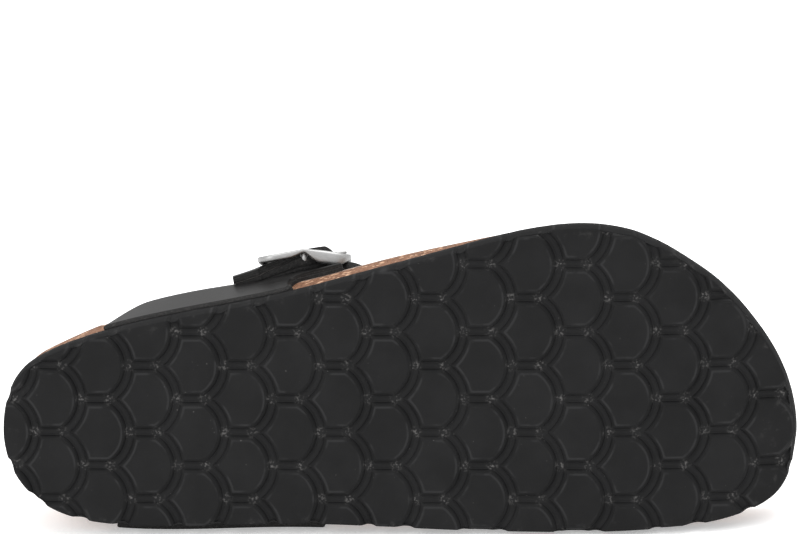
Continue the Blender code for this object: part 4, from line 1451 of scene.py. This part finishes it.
@dataclass
class Footbed:
    """Cork footbed with heel cup, arch, toe bar and raised rim, and its suede insole."""

    last: Last
    spacing: float = 1.7
    half_points: int = 26
    wall_steps: int = 9
    rim_round: float = 0.9
    corner_rise: float = 0.1
    corner_shares: tuple[float, ...] = (0.25, 0.5, 0.75)
    insole_share: float = 0.90
    insole_thick: float = 1.5
    insole_round: float = 0.6
    insole_reach: float = 20.0
    lean_power: int = 3

    def top(self, x: np.ndarray, share: np.ndarray) -> np.ndarray:
        """Points of the footbed's top, without the spring.

        Args:
            x: stations.
            share: signed share of the way out.

        Returns:
            Points by station and share.
        """
        plan_x, plan_y = self.last.across(x, share)
        lean = self.last.by_side("lean", x, share) - self.last.seat(x, share) * self.last.seat_rim_share
        plan_y = plan_y - lean * np.abs(share) ** self.lean_power
        height = self.last.bed_top(plan_x, plan_y, share, x)
        return np.stack([plan_x, plan_y, height], axis=-1)

    def wall(self, x: np.ndarray, side: Side) -> np.ndarray:
        """Points of one wall from the sole up to the rim.

        Args:
            x: stations.
            side: side of the shoe.

        Returns:
            Points by station and height.
        """
        sign = np.array([[side.value]])
        out_x, out_y = self.last.across(x, sign)
        lean = self.last.by_side("lean", x, sign)
        rim = self.last.by_side("rim", x, sign)
        base = self.last.sole_top + self.last.gap
        part = np.linspace(0.0, 1.0, self.wall_steps)[None, :]
        seat = self.last.seat(x, sign)
        y = out_y - lean * part + seat * (1.0 + (self.last.seat_rim_share - 1.0) * part)
        z = base + (rim - self.rim_round - base) * part
        return np.stack(np.broadcast_arrays(out_x, y, z), axis=-1)

    def rounded(self, x: np.ndarray, side: Side) -> np.ndarray:
        """Soft corner between a wall and the top.

        Args:
            x: stations.
            side: side of the shoe.

        Returns:
            Points by station and share of the corner.
        """
        sign = np.array([[side.value]])
        foot = self.wall(x, side)[:, -1:, :]
        inner = self.top(x, sign * self.last.rim_share)
        corner = foot.copy()
        corner[..., 2] = self.last.by_side("rim", x, sign) + self.corner_rise
        part = np.array(self.corner_shares)[None, :, None]
        return (1 - part) ** 2 * foot + 2 * part * (1 - part) * corner + part ** 2 * inner

    def spring(self, points: np.ndarray) -> np.ndarray:
        """Add the rise of the toe and the heel.

        Args:
            points: points without it.

        Returns:
            The risen points.
        """
        points = points.copy()
        points[..., 2] += self.last.spring(points[..., 0])
        return points

    def shares(self, reach: float) -> np.ndarray:
        """Signed shares across the top, closer together near the rims."""
        half = reach * np.sin(np.linspace(0.0, 0.5 * math.pi, self.half_points))
        return np.concatenate([-half[:0:-1], half])[None, :]

    def build(self, cork: Material, suede: Material) -> list[Piece]:
        """Make the footbed and the insole.

        Args:
            cork: material of the footbed.
            suede: material of the insole.

        Returns:
            Both pieces.
        """
        x = self.last.stations(self.spacing)[:, None]
        top = self.top(x, self.shares(self.last.rim_share))
        lateral, medial = (np.concatenate([self.wall(x, side), self.rounded(x, side)], axis=1)
                           for side in (Side.LATERAL, Side.MEDIAL))
        middle_x, middle_y = self.last.spine(x)
        base = np.full(middle_x.shape, self.last.sole_top + self.last.gap)
        under = np.stack([middle_x, middle_y, base], axis=-1)
        rings = self.spring(np.concatenate([lateral, top, medial[:, ::-1], under], axis=1))
        wall = np.ones(lateral.shape[1])
        wall[:self.wall_steps - 1] = 0.0
        rim = np.concatenate([wall, np.ones(top.shape[1]), wall[::-1], [0.0]])
        marks = {"rim": np.broadcast_to(rim, rings.shape[:2])}
        bed = make_piece("footbed_cork", self.last.lay(rings), ring_faces(*rings.shape[:2]), marks)
        return [dress(bed, [cork], "footbed"), self.build_insole(x, suede)]

    def build_insole(self, x: np.ndarray, suede: Material) -> Piece:
        """Make the lining of the footbed.

        Args:
            x: stations.
            suede: its material.

        Returns:
            The piece.
        """
        share = self.shares(self.insole_share)
        under = self.top(x, share) + np.array([0.0, 0.0, self.last.gap])
        away = (self.insole_share - np.abs(share)) * np.maximum(self.last.half_width(x), self.insole_reach)
        soft = np.sqrt(np.clip(1.0 - (1.0 - np.clip(away / self.insole_round, 0.0, 1.0)) ** 2, 0.0, 1.0))
        over = under.copy()
        over[..., 2] += self.insole_thick - self.insole_round * (1.0 - soft)
        rings = self.spring(np.concatenate([over, under[:, ::-1]], axis=1))
        piece = make_piece("insole_suede", self.last.lay(rings), ring_faces(*rings.shape[:2]))
        return dress(piece, [suede], "insole")


@dataclass
class Strap:
    """One leather strap wrapped on the last, with its cut edges and its lining."""

    last: Last
    name: str
    node: str
    rows: Sequence[StrapRow]
    tips: Sequence[TipRow]
    steps: int
    thick: float
    holed: bool
    pressed: float = 0.0
    cross: int = 44
    edge_round: float = 0.55
    edge_points: int = 4
    inner_round: float = 0.5
    hole_lead: float = 0.5
    stitch_inset: float = 2.6
    stitch_points: int = 240

    def __post_init__(self) -> None:
        """Work out the strap's edges from its tables."""
        rows = list(self.rows)
        for tip in self.tips:
            back = self.last.on_last(tip.back, tip.back_half)
            front = self.last.on_last(tip.front, -tip.front_half)
            rows.append(StrapRow(tip.place, back[0], back[1], front[0], front[1]))
        self.places = [row.place for row in rows]
        knots = range(len(rows))
        self.edges = {name: Curve(knots, [getattr(row, name) for row in rows]) for name in StrapRow._fields[1:]}

    def spot(self, place: np.ndarray, part: np.ndarray) -> tuple[np.ndarray, np.ndarray]:
        """Place on the last of points of the strap.

        Args:
            place: places along the strap, in rows of its table.
            part: share of the way from the back edge to the front edge.

        Returns:
            Stations and girth places.
        """
        x = self.edges["back_x"](place) * (1.0 - part) + self.edges["front_x"](place) * part
        girth = self.edges["back_g"](place) * (1.0 - part) + self.edges["front_g"](place) * part
        return x, girth

    def lift(self, place: np.ndarray) -> np.ndarray:
        """Distance of the strap from the last: the buckled end climbs to a crest and slopes to its free end.

        Args:
            place: places along the strap, in rows of its table.

        Returns:
            Distances.
        """
        lifts = np.array([self.last.gap] * len(self.rows) + [tip.lift for tip in self.tips])
        seat = np.clip(np.asarray(place).astype(int), 0, len(lifts) - 2)
        share = place - seat
        soft = (lifts[seat] <= self.last.gap) | (lifts[seat] >= lifts.max())
        share = np.where(soft, smooth(share, 0.0, 1.0), share)
        return lifts[seat] + (lifts[seat + 1] - lifts[seat]) * share

    def creased(self, x: np.ndarray, girth: np.ndarray) -> np.ndarray:
        """Depth of the creases.

        Args:
            x: stations.
            girth: girth places.

        Returns:
            Depths.
        """
        depth = np.zeros(np.broadcast(x, girth).shape)
        for crease in CREASES:
            off = (x - crease.x - crease.slant * (girth - crease.girth)) / crease.width
            depth = depth + crease.depth * np.exp(-off ** 2 - ((girth - crease.girth) / crease.reach) ** 2)
        return depth

    def surface(self, place: np.ndarray, part: np.ndarray, height: np.ndarray) -> np.ndarray:
        """Points of the strap.

        Args:
            place: places along the strap, in rows of its table.
            part: share of the way across.
            height: height above its underside.

        Returns:
            Points, x, y and z on the last axis.
        """
        x, girth = self.spot(place, part)
        normal = self.last.normal(self.last.strap_form, x, girth)
        rise = self.lift(place) + height - self.creased(x, girth)
        return self.last.strap_form(x, girth) + normal * rise[..., None]

    def widths(self, place: np.ndarray) -> np.ndarray:
        """Width of the strap, measured from edge to middle to edge.

        Args:
            place: places along the strap, in rows of its table.

        Returns:
            Widths.
        """
        parts = [np.full(place.shape, part) for part in (0.0, 0.5, 1.0)]
        edges = [self.last.strap_form(*self.spot(place, part)) for part in parts]
        return sum(np.linalg.norm(b - a, axis=-1) for a, b in zip(edges, edges[1:]))

    def section(self, place: np.ndarray) -> tuple[np.ndarray, np.ndarray]:
        """Sections of the strap with rounded edges.

        Args:
            place: places along the strap, in rows of its table.

        Returns:
            Shares of the way across, and how far the rounding dips there.
        """
        turn = np.linspace(0.0, 0.5 * math.pi, self.edge_points)
        near = self.edge_round * (1.0 - np.cos(turn))[None, :] / self.widths(place)
        sunk = np.broadcast_to(self.edge_round * (1.0 - np.sin(turn))[None, :], near.shape)
        even = np.linspace(0.0, 1.0, self.cross)[None, 1:-1]
        start, end = near[:, -1:], 1.0 - near[:, -1:]
        part = np.concatenate([near, start + (end - start) * even, 1.0 - near[:, ::-1]], axis=1)
        dip = np.concatenate([sunk, np.zeros_like(even * start), sunk[:, ::-1]], axis=1)
        return part, dip

    def skin_faces(self, count: int) -> tuple[Faces, list[int]]:
        """Faces of the strap, its two ends closed.

        Args:
            count: points across one face of the strap.

        Returns:
            Faces, and the material slot of each.
        """
        columns = 2 * count + 2
        edge = [Skin.EDGE.value]
        row = [Skin.GRAIN.value] * (count - 1) + edge * 2 + [Skin.LINING.value] * (count - 1) + edge * 2
        faces = ring_faces(self.steps, columns)
        for base in (0, (self.steps - 1) * columns):
            for j in range(count - 1):
                k = 2 * count - j
                faces.append((base + j, base + j + 1, base + k - 1, base + k))
            faces.append((base + count - 1, base + count, base + count + 1))
            faces.append((base, base + columns - 1, base + columns - 2))
        return faces, row * (self.steps - 1) + edge * 2 * (count + 1)

    def build(self, finishes: Sequence[Material]) -> Piece:
        """Make the strap.

        Args:
            finishes: grain, cut edge and lining.

        Returns:
            The piece.
        """
        place = np.linspace(0.0, len(self.places) - 1.0, self.steps)[:, None]
        part, dip = self.section(place)
        spread = np.broadcast_to(place, part.shape)
        outer = self.surface(spread, part, self.thick - dip)
        inner = self.surface(spread, part[:, ::-1], (self.inner_round * dip - self.pressed)[:, ::-1])
        middle = np.full(place.shape, 0.5 * self.thick)
        front, back = (self.surface(place, np.full(place.shape, side), middle) for side in (1.0, 0.0))
        rings = np.concatenate([outer, front, inner, back], axis=1)
        faces, slots = self.skin_faces(part.shape[1])
        half = np.full_like(place, 0.5)
        layer = np.concatenate([np.ones_like(part), half, np.zeros_like(part), half], axis=1)
        away = rings - self.last.buckle.centre
        ready = self.places.index("before the buckle") - self.hole_lead if self.holed else FAR
        billet = np.broadcast_to((place > ready).astype(float), layer.shape)
        marks = {"along": away @ self.last.buckle.forward, "aside": away @ self.last.buckle.sideways,
                 "billet": billet, "layer": layer}
        piece = make_piece(self.name, self.last.lay(rings), faces, marks, slots)
        return dress(piece, finishes, self.node)

    def stitch_path(self, at_front: bool, first: float, final: float) -> np.ndarray:
        """Line of a row of stitches beside one edge.

        Args:
            at_front: whether the row follows the front edge.
            first: where the row starts, in rows of the table.
            final: where it ends.

        Returns:
            Points on the leather's surface.
        """
        place = np.linspace(first, final, self.stitch_points)
        inset = self.stitch_inset / self.widths(place)
        part = 1.0 - inset if at_front else inset
        return self.surface(place, part, np.full(place.shape, self.thick))


@dataclass
class Fold:
    """End of the side strap folded round the buckle's bar and back on itself, parted for the prong."""

    last: Last
    billet: Strap
    inner: float = 2.4
    outer: float = 10.0
    half_width: float = 10.4
    ear: float = 2.7
    ear_reach: float = 6.0
    front_share: float = 0.62
    rear_share: float = 0.06
    foot: float = 1.0
    clear: float = -0.3
    edge_round: float = 0.5
    steps: int = 90
    round_steps: int = 5

    def half(self, place: np.ndarray, side: float, ear: float) -> np.ndarray:
        """Rings of one half, from the last up to the strap that lies over it.

        Args:
            place: places along the billet, in rows of its table.
            side: sign of the side of the prong.
            ear: how far the half bulges out beside the bar.

        Returns:
            Points by place and corner of the section.
        """
        tips = self.billet.tips
        ahead = np.interp(place, len(self.billet.rows) + np.arange(len(tips)), [tip.back for tip in tips])
        turn = np.linspace(0.0, 0.5 * math.pi, self.round_steps)[None, :]
        near = self.edge_round * (1.0 - np.cos(turn))
        sunk = self.edge_round * (1.0 - np.sin(turn))
        sunk = np.concatenate([sunk, sunk[:, ::-1]], axis=1)
        outer = self.outer + ear * np.exp(-(ahead / self.ear_reach) ** 2) - near[:, ::-1]
        aside = np.concatenate([np.broadcast_to(self.inner + near, outer.shape), outer], axis=1)
        part = 0.5 - 0.5 * side * aside / self.half_width
        spread = np.broadcast_to(place, part.shape)
        low = self.billet.surface(spread, part, self.foot - self.billet.lift(spread))
        high = self.billet.surface(spread, part, -self.clear - sunk)
        return np.concatenate([low, high[:, ::-1]], axis=1)

    def build(self, finishes: Sequence[Material]) -> Piece:
        """Make both halves of the fold, the bulge on the sole side only.

        Args:
            finishes: grain and cut edge.

        Returns:
            The piece.
        """
        places = self.billet.places
        start = places.index("crest") - self.front_share
        place = np.linspace(start, len(places) - 1.0 - self.rear_share, self.steps)[:, None]
        halves = [self.half(place, 1.0, 0.0), self.half(place, -1.0, self.ear)]
        count = 2 * self.round_steps
        edge = [Skin.EDGE.value]
        row = edge * count + [Skin.GRAIN.value] * (count - 1) + edge
        ring = 2 * count
        faces, slots = [], []
        for base in (0, ring * self.steps):
            faces += ring_faces(self.steps, ring, base)
            for end in (base, base + (self.steps - 1) * ring):
                faces.append(tuple(range(end, end + ring)))
            slots += row * (self.steps - 1) + edge * 2
        layer = np.tile(np.repeat([0.0, 1.0], count), 2 * self.steps)
        points = np.concatenate([half.reshape(-1, 3) for half in halves])
        piece = make_piece("side_strap_fold", self.last.lay(points), faces, {"layer": layer}, slots)
        return dress(piece, finishes, "")


@dataclass
class Stitches:
    """Rows of thread that hold the lining to the leather."""

    last: Last
    pitch: float = 3.0
    length: float = 2.1
    radius: float = 0.28
    bead_segments: int = 8
    bead_rings: int = 6

    def tree(self, thread: Material) -> bpy.types.GeometryNodeTree:
        """Node tree that lays stitches along a curve.

        Args:
            thread: material of the thread.

        Returns:
            The tree, with pitch, length and radius as inputs.
        """
        tree = bpy.data.node_groups.new("stitch_row", "GeometryNodeTree")
        tree.interface.new_socket("Row", in_out="INPUT", socket_type="NodeSocketGeometry")
        for name in ("Pitch", "Length", "Radius"):
            tree.interface.new_socket(name, in_out="INPUT", socket_type="NodeSocketFloat")
        tree.interface.new_socket("Thread", in_out="OUTPUT", socket_type="NodeSocketGeometry")
        graph = Graph(tree)
        row, pitch, length, radius = (graph.add("NodeGroupInput", output=name)
                                      for name in ("Row", "Pitch", "Length", "Radius"))
        inputs = {"Curve": row, "Length": pitch}
        spread = graph.add("GeometryNodeResampleCurve", {"mode": "LENGTH"}, inputs, "Curve")
        inputs = {"Segments": self.bead_segments, "Rings": self.bead_rings, "Radius": 1.0}
        bead = graph.add("GeometryNodeMeshUVSphere", inputs=inputs, output="Mesh")
        tangent = graph.add("GeometryNodeInputTangent", output="Tangent")
        turn = graph.add("FunctionNodeAlignRotationToVector", {"axis": "X"}, {"Vector": tangent}, "Rotation")
        inputs = {"X": length * 0.5, "Y": radius, "Z": radius}
        size = graph.add("ShaderNodeCombineXYZ", inputs=inputs, output="Vector")
        inputs = {"Points": spread, "Instance": bead, "Rotation": turn, "Scale": size}
        laid = graph.add("GeometryNodeInstanceOnPoints", inputs=inputs, output="Instances")
        real = graph.add("GeometryNodeRealizeInstances", inputs={"Geometry": laid}, output="Geometry")
        soft = graph.add("GeometryNodeSetShadeSmooth", inputs={"Geometry": real}, output="Geometry")
        inputs = {"Geometry": soft, "Material": thread}
        done = graph.add("GeometryNodeSetMaterial", inputs=inputs, output="Geometry")
        graph.add("NodeGroupOutput", inputs={"Thread": done})
        return tree

    def build(self, rows: Sequence[np.ndarray], thread: Material) -> Piece:
        """Make all rows of stitches as one mesh.

        Args:
            rows: lines of the rows, in the shoe's frame.
            thread: material of the thread.

        Returns:
            The piece.
        """
        line = bpy.data.curves.new("stitch_lines", "CURVE")
        line.dimensions = "3D"
        for row in rows:
            points = self.last.lay(row)
            run = line.splines.new("POLY")
            run.points.add(len(points) - 1)
            run.points.foreach_set("co", np.concatenate([points, np.ones((len(points), 1))], axis=1).ravel())
        holder = bpy.data.objects.new("stitch_lines", line)
        bpy.context.scene.collection.objects.link(holder)
        tree = self.tree(thread)
        modifier = holder.modifiers.new("stitches", "NODES")
        modifier.node_group = tree
        sizes = {"Pitch": self.pitch, "Length": self.length, "Radius": self.radius}
        for item in tree.interface.items_tree:
            if item.in_out == "INPUT" and item.name in sizes:
                modifier[item.identifier] = sizes[item.name] * MM
        graph = bpy.context.evaluated_depsgraph_get()
        graph.update()
        mesh = bpy.data.meshes.new_from_object(holder.evaluated_get(graph))
        holder.modifiers.remove(modifier)
        bpy.data.objects.remove(holder)
        piece = bpy.data.objects.new("strap_stitches", mesh)
        bpy.context.scene.collection.objects.link(piece)
        return dress(piece, [] if mesh.materials else [thread], "")


@dataclass
class Buckle:
    """Arched satin buckle with its centre bar and its prong."""

    last: Last
    half_length: float = 14.0
    half_width: float = 13.4
    corner: float = 4.0
    wire: float = 1.4
    front_high: float = 2.2
    front_from: float = 6.0
    front_taper: float = 0.75
    rear_high: float = 1.2
    waist: float = 0.55
    waist_reach: float = 2.6
    blunt: float = 0.62
    frame_sides: int = 24
    cross_high: float = 0.9
    lean: float = 0.03
    limb_drop: float = 1.1
    front_height: float = 5.8
    apex_height: float = 9.5
    rear_height: float = 8.7
    arch_power: float = 1.2
    bar_radius: float = 1.2
    bar_height: float = 3.4
    bar_half: float = 10.2
    bar_bend_out: float = 0.6
    bar_bend_up: float = 1.4
    bar_sink: float = 0.4
    prong_wire: float = 0.75
    prong_leave: float = 0.7
    prong_overhang: float = -1.3
    prong_bow: float = 0.4
    prong_taper: float = 0.3
    taper_from: float = 0.75
    prong_sides: int = 14
    ring_steps: int = 40
    corner_steps: int = 12
    straight_steps: int = 40

    def arch(self, along: np.ndarray) -> np.ndarray:
        """Height of the side bars, arched over the strap.

        Args:
            along: distances along the strap from the buckle's centre.

        Returns:
            Heights above the last.
        """
        share = np.abs(along) / self.half_length
        end = np.where(along > 0.0, self.front_height, self.rear_height)
        return self.apex_height + (end - self.apex_height) * share ** self.arch_power

    def outline(self) -> np.ndarray:
        """Middle line of the frame, four corners with a straight after each.

        Returns:
            Distances along and across the strap, one point a row.
        """
        straight = self.half_length - self.corner
        width = self.half_width - self.corner
        points = []
        for quarter, (sign_a, sign_c) in enumerate(((1, 1), (-1, 1), (-1, -1), (1, -1))):
            for i in range(self.corner_steps + 1):
                angle = 0.5 * math.pi * (quarter + i / self.corner_steps)
                points.append((sign_a * straight + self.corner * math.cos(angle),
                               sign_c * width + self.corner * math.sin(angle)))
            long_side = quarter in (0, 2)
            reach = straight if long_side else width
            count = self.straight_steps if long_side else self.straight_steps // 2
            for i in range(1, count):
                place = reach * (1.0 - 2.0 * i / count)
                points.append((sign_a * place, sign_c * self.half_width) if long_side
                              else (sign_a * self.half_length, sign_c * place))
        return np.array(points)

    def build(self, steel: Material) -> list[Piece]:
        """Make the frame with its bar, and the prong.

        Args:
            steel: their material.

        Returns:
            Both pieces.
        """
        along, aside = self.outline().T
        limb = smooth(np.abs(aside), self.half_width - 2.0 * self.corner, self.half_width)
        high = self.rear_high + (self.front_high - self.rear_high) * smooth(along, 0.0, self.front_from)
        high = high - self.waist * np.exp(-((along / self.waist_reach) ** 2))
        high = high - self.front_taper * smooth(along, self.half_length - self.corner, self.half_length)
        high = self.cross_high + (high - self.cross_high) * limb
        sunk = (self.wire - self.cross_high) * (1.0 - limb) + (high - self.wire) * limb
        sunk = sunk + self.lean * (aside + self.half_width) + self.limb_drop * limb
        ring = self.last.at_buckle(along, aside, self.arch(along) - sunk)
        radii = np.stack([high, np.full(high.shape, self.wire)], axis=1)
        half = np.array([(self.bar_half * 0.5, self.bar_height), (self.bar_half, self.bar_height),
                         (self.bar_half + self.bar_bend_out, self.bar_height + self.bar_bend_up),
                         (self.half_width - self.bar_radius, self.apex_height - self.bar_sink)])
        ends = np.concatenate([half[::-1] * (-1.0, 1.0), half])
        bar = self.last.at_buckle(0.0, *ends.T)
        up = self.last.buckle.outward
        points, faces = join(tube(ring, radii, up, True, self.frame_sides, self.blunt),
                             tube(bar, np.full((len(bar), 2), self.bar_radius), up, False))
        body = make_piece("buckle_frame_steel", self.last.lay(points), faces)
        return [dress(body, [steel], "buckle_frame"), self.build_prong(steel)]

    def build_prong(self, steel: Material) -> Piece:
        """Make the prong, looped on the bar and resting on the front of the frame.

        Args:
            steel: its material.

        Returns:
            The piece.
        """
        loop = self.bar_radius + self.last.gap + self.prong_wire
        turn = np.linspace(0.0, 2.0 * math.pi, self.ring_steps, endpoint=False)
        ring = self.last.at_buckle(loop * np.cos(turn), 0.0, self.bar_height + loop * np.sin(turn))
        wires = np.full((self.ring_steps, 2), self.prong_wire)
        part = np.linspace(0.0, 1.0, self.ring_steps)
        leave = self.prong_leave * loop
        front = self.half_length + self.wire + self.prong_overhang
        rest = self.front_height - self.wire + 2.0 * self.cross_high + self.prong_wire
        along = leave + (front - leave) * part
        start = self.bar_height + leave
        height = start + (rest - start) * part + self.prong_bow * np.sin(math.pi * part)
        taper = self.prong_wire * (1.0 - self.prong_taper * smooth(part, self.taper_from, 1.0))
        arm = self.last.at_buckle(along, 0.0, height)
        up = self.last.buckle.sideways
        points, faces = join(tube(ring, wires, up, True, self.prong_sides),
                             tube(arm, np.stack([taper, taper], axis=1), up, False, self.prong_sides))
        piece = make_piece("buckle_prong_steel", self.last.lay(points), faces)
        return dress(piece, [steel], "buckle_prong")


@dataclass
class ToePost:
    """Round leather post between the toe strap and the footbed."""

    last: Last
    x: float = 203.0
    radius: float = 3.6
    waist: float = 0.5
    waist_from: float = 0.2
    pocket: float = 4.5
    steps: int = 24
    sides: int = 28

    def build(self, finish: Material) -> Piece:
        """Make the post.

        Args:
            finish: its material.

        Returns:
            The piece.
        """
        head = self.last.point(self.x, GIRTH_TOP)
        head[2] -= 0.5 * self.last.gap
        _, middle = self.last.spine(self.x)
        share = np.abs(head[1] - middle) / np.abs(self.last.edge(Side.MEDIAL, self.x) - middle)
        seat = self.last.bed_top(np.array(self.x), head[1], share, np.array(self.x)) + self.last.spring(self.x)
        part = np.linspace(0.0, 1.0, self.steps)
        z = seat - self.pocket + (head[2] - seat + self.pocket) * part
        line = np.stack([np.full(self.steps, self.x), np.full(self.steps, head[1]), z], axis=1)
        radius = self.radius - self.waist * np.sin(math.pi * smooth(part, self.waist_from, 1.0))
        radii = np.stack([radius, radius], axis=1)
        points, faces = tube(line, radii, np.array([1.0, 0.0, 0.0]), False, self.sides)
        piece = make_piece("toe_post_leather", self.last.lay(points), faces)
        return dress(piece, [finish], "toe_post")


@dataclass
class Studio:
    """Pale floor, soft lights and the camera."""

    distance: float = 1400.0
    elevation: float = 17.5
    azimuth: float = 4.0
    roll: float = -1.522
    scale: float = 3.027
    centre: tuple[float, float, float] = (0.0, 0.0, 50.0)
    centre_pixel: tuple[float, float] = (402.9, 350.9)
    sensor: float = 36.0
    clip_end: float = 50.0
    floor_size: float = 12.0
    world: float = 1.25
    lamp_aim: tuple[float, float, float] = (0.0, 0.0, 0.05)
    lamps: tuple[Lamp, ...] = (
        Lamp("key", (-0.9, -1.4, 1.1), 0.9, 10.0),
        Lamp("top", (0.1, 0.1, 1.5), 1.2, 16.0),
    )

    def floor(self) -> None:
        """Make the floor."""
        half = self.floor_size * 0.5
        corners = np.array([[-half, -half, 0.0], [half, -half, 0.0], [half, half, 0.0], [-half, half, 0.0]])
        floor = make_piece("studio_floor", corners, [(0, 1, 2, 3)])
        floor.data.materials.append(FloorFinish().make())

    def sky(self) -> None:
        """Even pale light from all round, shown without a film curve."""
        world = bpy.data.worlds.new("studio_light")
        world.use_nodes = True
        back = world.node_tree.nodes["Background"]
        back.inputs["Color"].default_value = (1.0, 1.0, 1.0, 1.0)
        back.inputs["Strength"].default_value = self.world
        bpy.context.scene.world = world
        bpy.context.scene.view_settings.view_transform = "Standard"

    def hang(self, lamp: Lamp) -> None:
        """Hang a lamp and aim it at the shoe.

        Args:
            lamp: the lamp.
        """
        light = bpy.data.lights.new(lamp.name, "AREA")
        light.size = lamp.size
        light.energy = lamp.power
        holder = bpy.data.objects.new(lamp.name, light)
        holder.location = lamp.place
        aim = Vector(self.lamp_aim) - Vector(lamp.place)
        holder.rotation_euler = aim.to_track_quat("-Z", "Y").to_euler()
        bpy.context.scene.collection.objects.link(holder)

    def camera(self) -> None:
        """Camera at the photograph's viewing angle."""
        up = math.radians(self.elevation)
        turn = math.radians(self.azimuth)
        way = Vector((math.sin(turn) * math.cos(up), -math.cos(turn) * math.cos(up), math.sin(up)))
        lens = bpy.data.cameras.new("camera")
        lens.sensor_width = self.sensor
        lens.sensor_fit = "HORIZONTAL"
        lens.lens = self.scale * self.distance * self.sensor / IMAGE_WIDTH
        lens.clip_end = self.clip_end
        holder = bpy.data.objects.new("camera", lens)
        level = Vector((math.cos(turn), math.sin(turn), 0.0))
        upright = way.cross(level)
        roll = math.radians(self.roll)
        right = level * math.cos(roll) + upright * math.sin(roll)
        above = upright * math.cos(roll) - level * math.sin(roll)
        off_right = (0.5 * IMAGE_WIDTH - self.centre_pixel[0]) / self.scale
        off_up = (self.centre_pixel[1] - 0.5 * IMAGE_HEIGHT) / self.scale
        stand = Vector(self.centre) + way * self.distance
        aim = Vector(self.centre) + right * off_right + above * off_up
        holder.location = stand * MM
        holder.rotation_euler = (aim - stand).to_track_quat("-Z", "Y").to_euler()
        holder.rotation_euler.rotate_axis("Z", roll)
        bpy.context.scene.collection.objects.link(holder)
        bpy.context.scene.camera = holder

    def build(self) -> None:
        """Set up the studio."""
        self.floor()
        self.sky()
        for lamp in self.lamps:
            self.hang(lamp)
        self.camera()


def main() -> None:
    """Build the sandal piece by piece, then the studio, and note the sizes."""
    logging.basicConfig(level=logging.INFO, format="%(name)s: %(message)s")
    last = Last()
    leather = LeatherFinish().make()
    cut = CutEdgeFinish().make()
    lining = LiningFinish().make()
    steel = SteelFinish().make()
    Outsole(last).build(FoamFinish().make())
    Footbed(last).build(CorkFinish().make(), SuedeFinish().make())
    upper = Strap(last, "upper_leather", "upper", UPPER_ROWS, BILLET_ROWS, steps=320, thick=2.5, holed=True)
    side = Strap(last, "side_strap_leather", "side_strap", SIDE_ROWS, SIDE_TIP_ROWS, steps=110, thick=2.3,
                 holed=False, pressed=0.7)
    for strap in (upper, side):
        strap.build([leather, cut, lining])
    Fold(last, upper).build([leather, cut])
    rows = [upper.stitch_path(at_front, first=0.5, final=11.5) for at_front in (True, False)]
    Stitches(last).build(rows, ThreadFinish().make())
    Buckle(last).build(steel)
    ToePost(last).build(leather)
    Studio().build()


if __name__ == "__main__":
    main()
